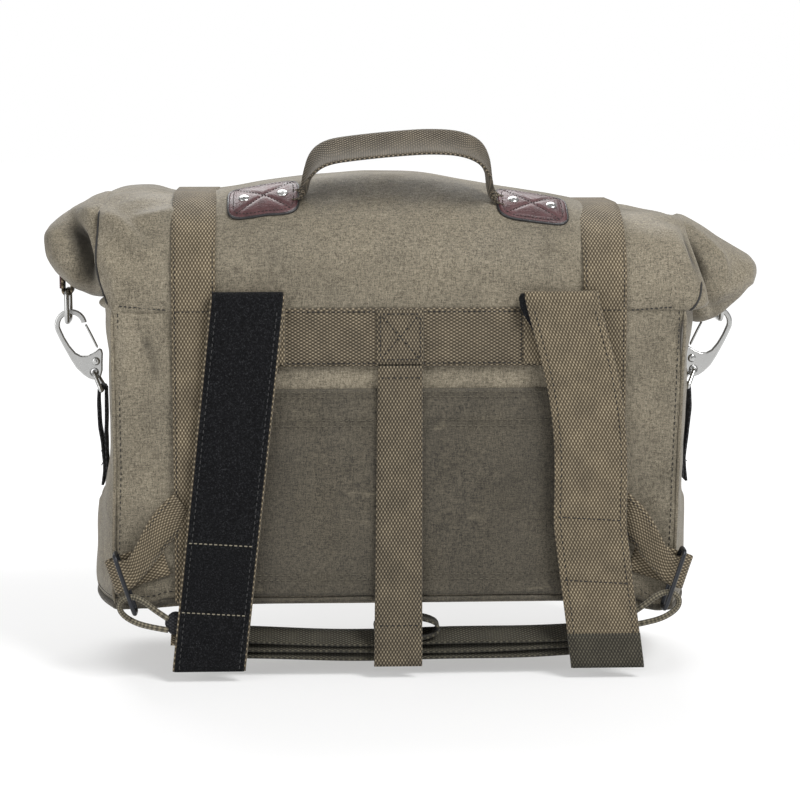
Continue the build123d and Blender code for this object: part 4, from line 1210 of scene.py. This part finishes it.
def cast_outline():
    """The hook's outline and its eye: a plate at the foot, a tapering spine and a round crook."""
    outer = np.radians(np.linspace(180, -14, 24))
    inner = np.radians(np.linspace(-14, 180, 24))
    foot = [(-3.2, -1.3), (0, -2.0), (3.2, -1.3), (5.8, 1.8), (8.6, 7.5)]
    foot += [(11.3, 12.5), (11.8, 15.2), (10.6, 16.6), (5.0, 15.6), (0.5, 15.8)]
    rising = [(-3.2, 17.5), (-5.8, 21), (-7.3, 27), (-7.9, 34)]
    crook_in = [(7.7 * -1 * math.cos(math.pi - a), CROOK_B + 7.7 * math.sin(a)) for a in inner[::-1]]
    crook_out = [(11.3 * -1 * math.cos(math.pi - a), CROOK_B + 11.3 * math.sin(a)) for a in outer[::-1]]
    falling = [(-11.4, 34), (-11.2, 26), (-10.8, 18), (-10.0, 11), (-7.6, 4.5), (-5.4, 0.8)]
    eye = [(2.4 * math.cos(t), EYE_B + 2.4 * math.sin(t)) for t in np.linspace(0, 2 * math.pi, 20, endpoint=False)]
    return [foot + rising + crook_in + crook_out + falling, eye]


def cast_plate(name, outlines, sign, thick, finish, body, slot, nodes=()):
    """Fills outlines, with holes, and rounds both edges."""
    curve = bpy.data.curves.new(name, "CURVE")
    curve.dimensions = "2D"
    curve.fill_mode = "BOTH"
    bevel = 0.9
    curve.bevel_depth, curve.bevel_resolution = bevel * MM, 3
    curve.offset = -bevel * MM
    curve.extrude = (thick / 2 - bevel) * MM
    for outline in outlines:
        spline = curve.splines.new("POLY")
        spline.points.add(len(outline) - 1)
        for point, (a, b) in zip(spline.points, outline):
            point.co = (a * MM, b * MM, 0, 1)
        spline.use_cyclic_u = True
    flat = bpy.data.objects.new(name, curve)
    bpy.context.collection.objects.link(flat)
    bpy.context.view_layer.update()
    mesh = bpy.data.meshes.new_from_object(flat.evaluated_get(bpy.context.evaluated_depsgraph_get()))
    bpy.data.objects.remove(flat)
    for vertex in mesh.vertices:
        a, b, depth = np.array(vertex.co) / MM
        vertex.co = hook_spot(sign, a, b, MID_Y + depth) * MM
    if sign > 0:
        mesh.flip_normals()
    mesh.materials.clear()
    mesh.materials.append(finish)
    piece = bpy.data.objects.new(name, mesh)
    bpy.context.collection.objects.link(piece)
    crisp = piece.modifiers.new("shade", "EDGE_SPLIT")
    crisp.split_angle = math.radians(50)
    bake(piece)
    return dress(piece, body, slot, nodes)


SMALL_RIVET = [(r * 0.72, h * 0.7) for r, h in RIVET]
LEVER = ((9.6, 17.5, -1.0), (9.7, 27, -0.9), (9.5, 35.6, -0.6), (9.5, 36.2, 0.6), (9.7, 27, 0.9), (9.6, 17.5, 1.0))
for side, sign in SIDES:
    hook = f"{side}_snap_hook"
    cast_plate(f"{side}_hook_casting", cast_outline(), sign, 4.0, NICKEL, hook, "nickel", [hook])
    gate_body = f"{side}_hook_gate"
    lever = [hook_spot(sign, a, b, MID_Y + y) for a, b, y in LEVER]
    wire(f"{side}_gate_lever", rounded(lever, 1.2, cuts=2), 0.75, NICKEL, gate_body, "nickel", nodes=[gate_body], sides=10)
    for y in (-1, 1):
        spot = hook_spot(sign, 4.6, 9.6, MID_Y + y * 2.1)
        rivet_name = f"{side}_gate_rivet_{'back' if y < 0 else 'front'}"
        turned(rivet_name, SMALL_RIVET, spot, (0, y, 0), NICKEL, hook, "nickel")
    ring_low, ring_high = box_mm(f"{side}_roll_ring")
    r = (ring_high[0] - ring_low[0]) / 2
    x = (ring_high[0] + ring_low[0]) / 2
    y0, y1, z0, z1 = ring_low[1] + r, ring_high[1] - r, ring_low[2] + r, ring_high[2] - r
    corners = [(x, y0, z0), (x, MID_Y, z0), (x, y1, z0), (x, y1 + 0.2, z1 - 5)]
    corners += [(x, y1 - 2, z1), (x, y0 + 2, z1), (x, y0 - 0.2, z1 - 5)]
    line, ring = rounded(corners, 1.5, closed=True), f"{side}_roll_ring"
    wire(f"{side}_roll_ring_wire", line, r, NICKEL, ring, "nickel", closed=True, nodes=[ring])
    loop = [hook_spot(sign, 0, b, MID_Y + y) for b, y in ((EYE_B, -6), (EYE_B, 6), (-10, 13.5), (-10, -13.5))]
    corners = [p + (q - p) * t for p, q in zip(loop, loop[1:] + loop[:1]) for t in (0.04, 0.5, 0.96)]
    line = rounded(corners, 1.5, closed=True, cuts=2)
    wire(f"{side}_hook_loop", line, 1.5, NICKEL, "bag", "nickel", closed=True, nodes=once(sign, "hook_loops"))
print("hooks and rings done")

# %% [markdown]
# The ring hangs from a tab sewn into the ear, faced with a scrap of the oxblood leather. Below, black webbing
# is folded through the wire loop and sewn down the gusset. It is bunched at the top, where the loop is
# narrower than the strap.
# %% Tabs and side straps
for side, sign in SIDES:
    ring_low, ring_high = box_mm(f"{side}_roll_ring")
    x, top_z = (ring_low[0] + ring_high[0]) / 2, ring_high[2] - 1.75
    turn = np.radians(np.linspace(-90, 90, 9))
    around = [(x + 3.1 * math.sin(t), MID_Y, top_z - 3.1 * math.cos(t)) for t in turn]
    line = [(x - 3.1, MID_Y, top_z + 11)] + around + [(x + 3.1, MID_Y, top_z + 11)]
    strap(f"{side}_ring_tab", line, (0, 8.5, 0), 1.5, WEBBING, nodes=once(sign, "roll_tabs"))
    out_x = x + sign * 4.4
    leather = evenly((out_x, MID_Y, top_z + 12), (out_x, MID_Y, top_z + 1.5), 2)
    strap(f"{side}_tab_leather", leather, (0, 8.2, 0), 1.4, LEATHER, slot="leather")
    foot = hook_spot(1, 0, -10)
    front_x = sign * (foot[0] + 1.6)
    rear_x = sign * (HALF_W + BULGE + 1.7)
    turn = np.radians(np.linspace(200, 20, 9))
    around = [(sign * (foot[0] + 2.7 * math.cos(t)), MID_Y, foot[2] + 2.7 * math.sin(t)) for t in turn]
    line = [(rear_x, MID_Y, -108)] + [(rear_x, MID_Y, z) for z in (-90, -70, -56)] + around
    hang = ((3.2, -52), (2.6, -66), (0.2, -84), (-0.8, -100))
    line += [(sign * (foot[0] + out_by), MID_Y, z) for out_by, z in hang]
    line.append((sign * (foot[0] + 0.8), MID_Y + 1, -112))
    line = rounded(line, 2.0, cuts=1)
    gather = 1 - 0.3 * np.exp(-(((line[:, 2] - foot[2]) / 9) ** 2))
    half = np.column_stack([np.zeros(len(line)), 9.0 * gather, 0 * gather])
    line[:, 0] += sign * 0.5 * slack(line, 11, 2.0)
    node = f"{side}_side_strap"
    strap(f"{side}_side_webbing", line, half, 1.7, BLACK_WEBBING, slot="black_webbing", nodes=[node])
    x = sign * (foot[0] + 1.4)
    rows = [(np.array([(x, MID_Y - 7, z), (x, MID_Y + 7, z)]), (sign, 0, 0)) for z in (-88, -98)]
    stitches(f"{side}_side_strap_stitches", rows, GREY_THREAD, slot="black_webbing")
print("tabs and side straps done")

# %% [markdown]
# A loop of webbing comes from each closure strap to the bottom corner and holds a black wire ring. The loop
# stands off the cloth at its upper edge, so it looks open from above.
# %% Corner tabs and tie rings
TIE_TILT = math.radians(18)
TAB_LINE = [(46, -2.6), (38, -4.2), (24, -9.0), (10, -10.4), (0, -9.8), (-7, -8.0)]
TAB_LINE += [(-9.5, -4.4), (-7, -1.4), (2, -0.8), (16, -0.5), (30, -0.6)]
for side, sign in SIDES:
    ring_low, ring_high = box_mm(f"{side}_tie_ring")
    centre = (ring_low + ring_high) / 2
    down = np.array([-sign * math.sin(TIE_TILT), 0, -math.cos(TIE_TILT)])
    half_long, half_y, r = 21.5, 7.5, 1.5
    ring = []
    for a, b in ((-1, -1), (0, -1), (1, -1), (1, 1), (0, 1), (-1, 1)):
        ring.append(centre + down * a * (half_long - 0.4 * (b < 0)) + np.array([0, b * half_y, 0]))
    corners = [p + (q - p) * t for p, q in zip(ring, ring[1:] + ring[:1]) for t in (0.12, 0.5, 0.88)]
    line, body = rounded(corners, 1.5, closed=True, cuts=2), f"{side}_tie_ring"
    wire(f"{side}_tie_ring_wire", line, r, BLACK_WIRE, body, "black_metal", closed=True, nodes=[body])
    bar = centre + np.array([0, half_y, 0]) - down * 6.0
    inboard = np.array([-sign * math.cos(TIE_TILT), 0, math.sin(TIE_TILT)])
    line = rounded([bar * (1, 0, 1) + inboard * d + np.array([0, y, 0]) for d, y in TAB_LINE], 2.0, cuts=2)
    along = lengths(line) / lengths(line)[-1]
    front = ease((0.5 - along) / 0.4)
    open_up = ease((0.52 - along) / 0.12) * ease((along + 0.04) / 0.2)
    line[:, 2] += 30.0 * front
    lean_in = np.outer(front, [sign * -5.5, -7.5 * 0.6, 0]) + np.outer(np.sin(np.pi * front), [0, -3.0, 0])
    half = -down[None] * (12.0 - 3.2 * open_up[:, None]) + lean_in * (-1, 1, 1)
    line = line + down[None] * 3.0 * open_up[:, None]
    strap(f"{side}_corner_tab", line, half, 1.7, WEBBING, nodes=once(sign, "tie_tabs"))
    edge = line[2:14] + half[2:14] * 0.78 + (0, -1.0, 0)
    other = line[2:14] - half[2:14] * 0.78 + (0, -1.0, 0)
    stitches(f"{side}_corner_tab_stitches", [(edge, BACK), (other, BACK)], DARK_THREAD, long=2.0, gap=1.2)
print("corner tabs done")

# %% [markdown]
# The tie strap hangs under the bag between the two rings: webbing doubled on itself, with a slider, and at
# each end a black sleeve with a loop of braided cord. Each cord is limp, has its real length, and goes back
# into its sleeve, so it keeps the route that it was cut for.
# %% Tie cords and sleeves
TIE_FOOT_Y = -12.25
CORD_ROUTE = [
    (159.0, -3.5, -200.5),
    (169.5, -6.0, -198.0),
    (181.0, -11.0, -193.5),
    (190.5, TIE_FOOT_Y, -186.5),
    (191.5, TIE_FOOT_Y, -179.0),
    (184.0, TIE_FOOT_Y, -174.4),
    (175.5, TIE_FOOT_Y, -177.5),
    (168.0, -7.0, -185.5),
    (159.0, -3.5, -192.5),
]
CORD_LENGTH, CORD_D = 0.0836, 0.004


def make_braid():
    """Braided cord: two sets of strands that cross on a slant, from the curve's own map."""
    f = Finish("braided cord", 0.75, Sheen_Weight=0.1)
    where = f.add("TexCoord", {}, output="UV")
    parts = f.add("SeparateXYZ", {"Vector": where}).node.outputs
    run = f.sum("MULTIPLY", parts[0], math.pi * 34)
    turn = f.sum("MULTIPLY", parts[1], math.pi * 6)
    weave = f.sum("MULTIPLY", f.sum("SINE", f.sum("ADD", run, turn)), f.sum("SINE", f.sum("SUBTRACT", run, turn)))
    height = f.sum("ADD", f.sum("MULTIPLY", weave, 0.5), 0.5)
    yarn = f.ramp(height, (0.35, (0.045, 0.038, 0.024)), (0.8, (0.2, 0.175, 0.12)))
    return f.finish(yarn, f.bump(height, 0.4))


BRAID = make_braid()
for side, sign in SIDES:
    curve = bpy.data.curves.new(f"{side}_tie_cord_braid", "CURVE")
    curve.dimensions = "3D"
    curve.bevel_depth, curve.bevel_resolution = CORD_D / 2, 5
    curve.use_fill_caps = True
    curve.resolution_u = 10
    spline = curve.splines.new("NURBS")
    spline.points.add(len(CORD_ROUTE) - 1)
    for point, (x, y, z) in zip(spline.points, CORD_ROUTE):
        point.co = (sign * x * MM, y * MM, z * MM, 1)
    spline.order_u = 3
    spline.use_endpoint_u = True
    curve.materials.append(BRAID)
    cord = bpy.data.objects.new(f"{side}_tie_cord_braid", curve)
    bpy.context.collection.objects.link(cord)
    dress(cord, "tie_strap", "cord", [f"{side}_tie_cord"])
    low, high = box_mm(f"{side}_cord_sleeve")
    middle = (low + high) / 2
    x_in, x_out = (low[0], high[0]) if sign > 0 else (high[0], low[0])
    t = np.linspace(0, 1, 12)
    line = np.column_stack([x_in + (x_out - x_in) * t, np.full(12, middle[1]), middle[2] - 1.2 + 2.4 * t])
    radius, node = 8.3 + 0.5 * np.sin(3 * np.pi * t), f"{side}_cord_sleeve"
    look = (BLACK_WEBBING, "tie_strap", "black_webbing")
    sleeve = wire(f"{side}_sleeve_wrap", line, radius, *look, nodes=[node], sides=24)
    for vertex in sleeve.data.vertices:
        vertex.co.y = (middle[1] + (vertex.co.y / MM - middle[1]) * 0.5) * MM
    uv = sleeve.data.uv_layers.new(name="weave")
    for corner in sleeve.data.loops:
        co = sleeve.data.vertices[corner.vertex_index].co
        uv.data[corner.index].uv = (co.z, co.x)
print("cords and sleeves done")

# %% [markdown]
# Strap webbing between the sleeves: layers with a little sag, leaning so that their faces show. The slider
# and a loop of spare webbing sit behind the centre strap.
# %% Tie strap and slider
TIE_W = 10.0
LAYER_ENDS = ((-206.5, -210.0), (-212.0, -215.5), (-217.0, -220.5))
LEAN_BACK = math.radians(24)
# The layers use the shaded webbing: painted shade under the bag.
for number, (end_z, middle_z) in enumerate(LAYER_ENDS):
    x = np.arange(-137, 137.1, 4)
    z = middle_z + (end_z - middle_z) * (x / 137) ** 2 + (0.6, -0.5, 0.4)[number] * np.sin(x / (23, 31, 19)[number])
    line = np.column_stack([x, np.full(len(x), TIE_W), z])
    half = np.array([0, math.cos(LEAN_BACK), math.sin(LEAN_BACK)]) * TIE_W * 0.92
    nodes = ["tie_strap"] if number == 0 else ()
    strap(f"tie_strap_layer_{number + 1}", line, half, 1.5, SHADED_WEBBING, "tie_strap", nodes=nodes)
for side, sign in SIDES:
    tongue = [(122, 9, -206.5), (136, 5, -203.5), (150, -1, -207.5), (157, -3, -206.4)]
    tongue = rounded([(sign * x, y, z) for x, y, z in tongue], 3)
    strap(f"{side}_sleeve_tongue", tongue, (0, 5.5, 3.2), 1.6, WEBBING, "tie_strap")
slider_low, slider_high = box_mm("strap_slider")
slider_x = (slider_low[0] + slider_high[0]) / 2
turn = np.linspace(0, 2 * math.pi, 36, endpoint=False)
loop = [(slider_x + 22 * math.cos(t), TIE_W, -203.0 + 7.6 * math.sin(t)) for t in turn]
# The loop uses the shaded webbing too: painted shade under the bag.
strap("tie_strap_loop", loop, (0, 9.6, 0), 1.6, SHADED_WEBBING, "tie_strap", closed=True)
middle = (slider_low + slider_high) / 2
half = (slider_high - slider_low) / 2
FRAME_CORNERS = ((-1, -1), (0, -1), (1, -1), (1, 0), (1, 1), (0, 1), (-1, 1), (-1, 0))
frame_line = [(middle[0] + a * (half[0] - 1.3), middle[1] + b * (half[1] - 1.3), middle[2]) for a, b in FRAME_CORNERS]
frame_line = rounded(frame_line, 1.5, closed=True, cuts=2)
SLIDER = (PLASTIC, "strap_slider", "slider_plastic")
wire("slider_frame", frame_line, 1.25, *SLIDER, closed=True, nodes=["strap_slider"])
bar = evenly((middle[0], slider_low[1] + 1.3, middle[2]), (middle[0], slider_high[1] - 1.3, middle[2]), 2)
wire("slider_bar", bar, 1.2, *SLIDER)
print("tie strap done")

# %% [markdown]
# The front closes with two buckles. Each hangs on a folded leather chape at the end of a closure strap. A
# leather billet from below goes through the frame and under a keeper. Leather bends in even curves, so each
# part is a strap along a rounded line.
# %% Front buckles
CLOSURE_X = 139.0
BUCKLE_Z, BUCKLE_H, BUCKLE_HALF, WIRE_R = -4.0, 38.0, 15.75, 1.75
BUCKLE_RING = [(-1, 1), (-0.4, 1), (0.4, 1), (1, 1), (1, 0.3), (1, -0.4)]
BUCKLE_RING += [(0.94, -1), (0.3, -1), (-0.3, -1), (-0.94, -1), (-1, -0.4), (-1, 0.3)]
PRONG_LINE = [(0.6, 2.9), (2.6, 1.8), (2.9, -3), (3.1, -20)]
frame_low, frame_high = box_mm("left_buckle_frame")
BAR_Y = (frame_low[1] + frame_high[1]) / 2
BILLET = [(151.6, -122), (151.6, -86), (151.4, -50), (157, -30), (162.6, -10), (162.6, 3), (160, 34), (157.5, 64)]
for side, sign in SIDES:
    x = sign * CLOSURE_X
    frame_body, prong_body = f"{side}_buckle_frame", f"{side}_buckle_prong"
    ring = [(x + a * BUCKLE_HALF, BAR_Y, BUCKLE_Z - BUCKLE_H / 2 + b * BUCKLE_H / 2) for a, b in BUCKLE_RING]
    ring = rounded(ring, 1.5, closed=True)
    wire(f"{side}_buckle_wire", ring, WIRE_R, NICKEL, frame_body, "nickel", closed=True, nodes=[frame_body])
    foot = (x, BAR_Y + WIRE_R + 1.7, BUCKLE_Z - BUCKLE_H - 1.2)
    prong = rounded([(x, BAR_Y + y, BUCKLE_Z + z) for y, z in PRONG_LINE] + [foot], 1.5, cuts=2)
    wire(f"{side}_prong_wire", prong, 1.35, NICKEL, prong_body, "nickel", nodes=[prong_body])
    turn = np.radians(np.linspace(180, 360, 9))
    around = [(x, BAR_Y + 3.3 * math.cos(t), BUCKLE_Z + 3.3 * math.sin(t)) for t in turn]
    back_y = BAR_Y - 3.3
    for part in (-1, 1):
        fold = [(p[0] + part * 8.4, p[1], p[2]) for p in around]
        strap(f"{side}_chape_fold_{'inner' if part < 0 else 'outer'}", fold, (4.4, 0, 0), 2.0, LEATHER, slot="leather")
    chape = rounded([(x, BAR_Y + 3.2, BUCKLE_Z + 0.5), (x, BAR_Y + 3.0, 6), (x, back_y + 3.2, 28), (x, back_y + 2.1, 36)], 2.5)
    strap(f"{side}_chape_face", chape, (12.8, 0, 0), 2.0, LEATHER, slot="leather", nodes=once(sign, "buckle_chapes"))
    under = evenly((x, back_y, BUCKLE_Z), (x, back_y, 35), 3)
    strap(f"{side}_chape_back", under, (12.8, 0, 0), 2.0, LEATHER, slot="leather")
    face = chape + (0, 1.15, 0)
    rows = [(face + (k * 10.4, 0, 0), (0, 1, 0)) for k in (-1, 1)]
    rows.append((np.array([(x - 10, face[-3][1] + 0.2, face[-3][2]), (x + 10, face[-3][1] + 0.2, face[-3][2])]), (0, 1, 0)))
    billet = rounded([(x, y, z) for y, z in BILLET], 2.5)
    reach = lengths(billet)
    tip = np.clip((reach[-1] - reach) / 12, 0.08, 1) ** 0.55
    half = np.column_stack([10.8 * tip, 0 * tip, 0 * tip])
    strap(f"{side}_billet", billet, half, 2.0, LEATHER, slot="leather", nodes=once(sign, "buckle_billets"))
    face = billet[3:-6] + (0, 1.1, 0)
    rows += [(face + (k * 8.8, 0, 0), (0, 1, 0)) for k in (-1, 1)]
    stitches(f"{side}_buckle_stitches", rows, DARK_THREAD, slot="leather", long=2.0, gap=1.3)
    for number, z in enumerate((-112, -96)):
        turned(f"{side}_billet_rivet_{number + 1}", RIVET, (x, BILLET[0][0] + 1.0, z), (0, 1, 0), NICKEL, "bag", "nickel")
    keeper_low, keeper_high = box_mm("strap_keepers")
    wide, deep = 16.7, keeper_high[1] - 1.1
    z = (keeper_low[2] + keeper_high[2]) / 2
    over = ((-1, 152.0), (-1, 157), (-0.93, deep), (-0.4, deep), (0.4, deep), (0.93, deep), (1, 157), (1, 152.0))
    loop = [(x + a * wide, y, z) for a, y in over]
    strap(f"{side}_keeper", rounded(loop, 1.5, cuts=2), (0, 0, 5), 2.0, LEATHER, slot="leather", nodes=once(sign, "strap_keepers"))
print("front buckles done")

# %% [markdown]
# Boards and a liner stiffen the bag from inside. They are plain sheets here, set a little inside their CAD
# solids, so that no fold of the cloth shows them.
# %% Inside pieces
INSET = 2.5


def slab(name, low, high, finish, node):
    """A flat board with its corners at low and high."""
    corners = [(x, y, z) for x in (low[0], high[0]) for y in (low[1], high[1]) for z in (low[2], high[2])]
    faces = [(0, 1, 3, 2), (4, 6, 7, 5), (0, 4, 5, 1), (2, 3, 7, 6), (0, 2, 6, 4), (1, 5, 7, 3)]
    board = make_mesh(name, corners, faces, finish)
    board.data.polygons.foreach_set("use_smooth", [False] * 6)
    return dress(board, "bag", "board", [node])


for node in ("back_board", "base_board", "mouth_stiffener"):
    low, high = box_mm(node)
    thin = (high - low) < 6
    slab(f"{node}_sheet", low + np.where(thin, 0.4, 2 * INSET), high - np.where(thin, 0.4, 2 * INSET), BOARD, node)
low, high = box_mm("liner")
bag_shape = []
for z in (high[2], BASE_Z + 8, BASE_Z + 6):
    pull = 3.5 * INSET if z > BASE_Z + 7 else 5 * INSET
    x = np.clip(OUTLINE[:, 0], low[0], high[0]) * (1 - pull / HALF_W)
    y = MID_Y + (OUTLINE[:, 1] - MID_Y) * (1 - pull / MID_Y)
    bag_shape.append(np.column_stack([x, y, np.full(len(x), z)]))
bag_shape.append((bag_shape[-1] - (0, MID_Y, 0)) * (0.02, 0.02, 1) + (0, MID_Y, 0))
dress(rows_to_mesh("liner_cloth", np.array(bag_shape), LINING, closed_rows=True), "bag", "canvas", ["liner"])
print("inside pieces done")

# %% [markdown]
# A plain pale floor and soft studio light. Two large lamps stand in front, one on each side, and a third
# above rims the crest. The world fills the shadows. The floor glows more with distance, so that it meets the
# white world without a horizon.
# %% Floor, light and camera
FLOOR_Z = -236.0
SIZE = 9000.0
floor_rows = np.array([[(x, y, FLOOR_Z) for x in (-SIZE, 0, SIZE)] for y in (-SIZE, 0, SIZE)])
f = Finish("pale studio floor", 0.9, Specular_IOR_Level=0.1, Emission_Color=(1, 1, 1, 1))
paper = f.ramp(f.grain(3, 2), (0.3, 0.5), (0.7, 0.53))
away = f.add("VectorMath", {0: f.place()}, output="Value", operation="LENGTH")
glow = f.ramp(f.sum("MULTIPLY", away, 0.3), (0.1, 0.4), (1.0, 0.85))
f.tree.links.new(glow, f.shader.inputs["Emission Strength"])
floor = rows_to_mesh("studio floor", floor_rows, f.finish(paper))


def soft_lamp(name, place_mm, target_mm, size, power):
    light = bpy.data.lights.new(name, "AREA")
    light.shape = "RECTANGLE"
    light.size, light.size_y = size
    light.energy = power
    lamp = bpy.data.objects.new(name, light)
    lamp.location = Vector(place_mm) * MM
    lamp.rotation_euler = (Vector(target_mm) - Vector(place_mm)).to_track_quat("-Z", "Y").to_euler()
    bpy.context.collection.objects.link(lamp)


soft_lamp("key", (1000, -1150, 1500), (0, 60, -20), (0.8, 0.8), 44)
soft_lamp("fill", (-1500, -1200, 500), (0, 60, -40), (1.2, 1.4), 14)
soft_lamp("rim", (-200, 1300, 1500), (0, 60, 40), (1.6, 0.8), 28)
world = bpy.data.worlds.new("studio")
world.use_nodes = True
world.node_tree.nodes["Background"].inputs["Color"].default_value = (1, 1, 1, 1)
ray = world.node_tree.nodes.new("ShaderNodeLightPath").outputs["Is Camera Ray"]
strength = world.node_tree.nodes.new("ShaderNodeMapRange")
strength.inputs["To Min"].default_value, strength.inputs["To Max"].default_value = 0.42, 1.0
world.node_tree.links.new(ray, strength.inputs["Value"])
world.node_tree.links.new(strength.outputs[0], world.node_tree.nodes["Background"].inputs["Strength"])
bpy.context.scene.world = world

AZIMUTH, ELEVATION, DISTANCE = math.radians(-2.5), math.radians(8), 1600.0
target = Vector((0, 0, -43))
back = Vector((math.sin(AZIMUTH) * math.cos(ELEVATION), -math.cos(AZIMUTH) * math.cos(ELEVATION), math.sin(ELEVATION)))
camera = bpy.data.objects.new("camera", bpy.data.cameras.new("camera"))
camera.location = (target + back * DISTANCE) * MM
camera.rotation_euler = (-back).to_track_quat("-Z", "Y").to_euler()
camera.data.lens = 106
bpy.context.collection.objects.link(camera)
bpy.context.scene.camera = camera
bpy.context.scene.view_settings.view_transform = "Standard"
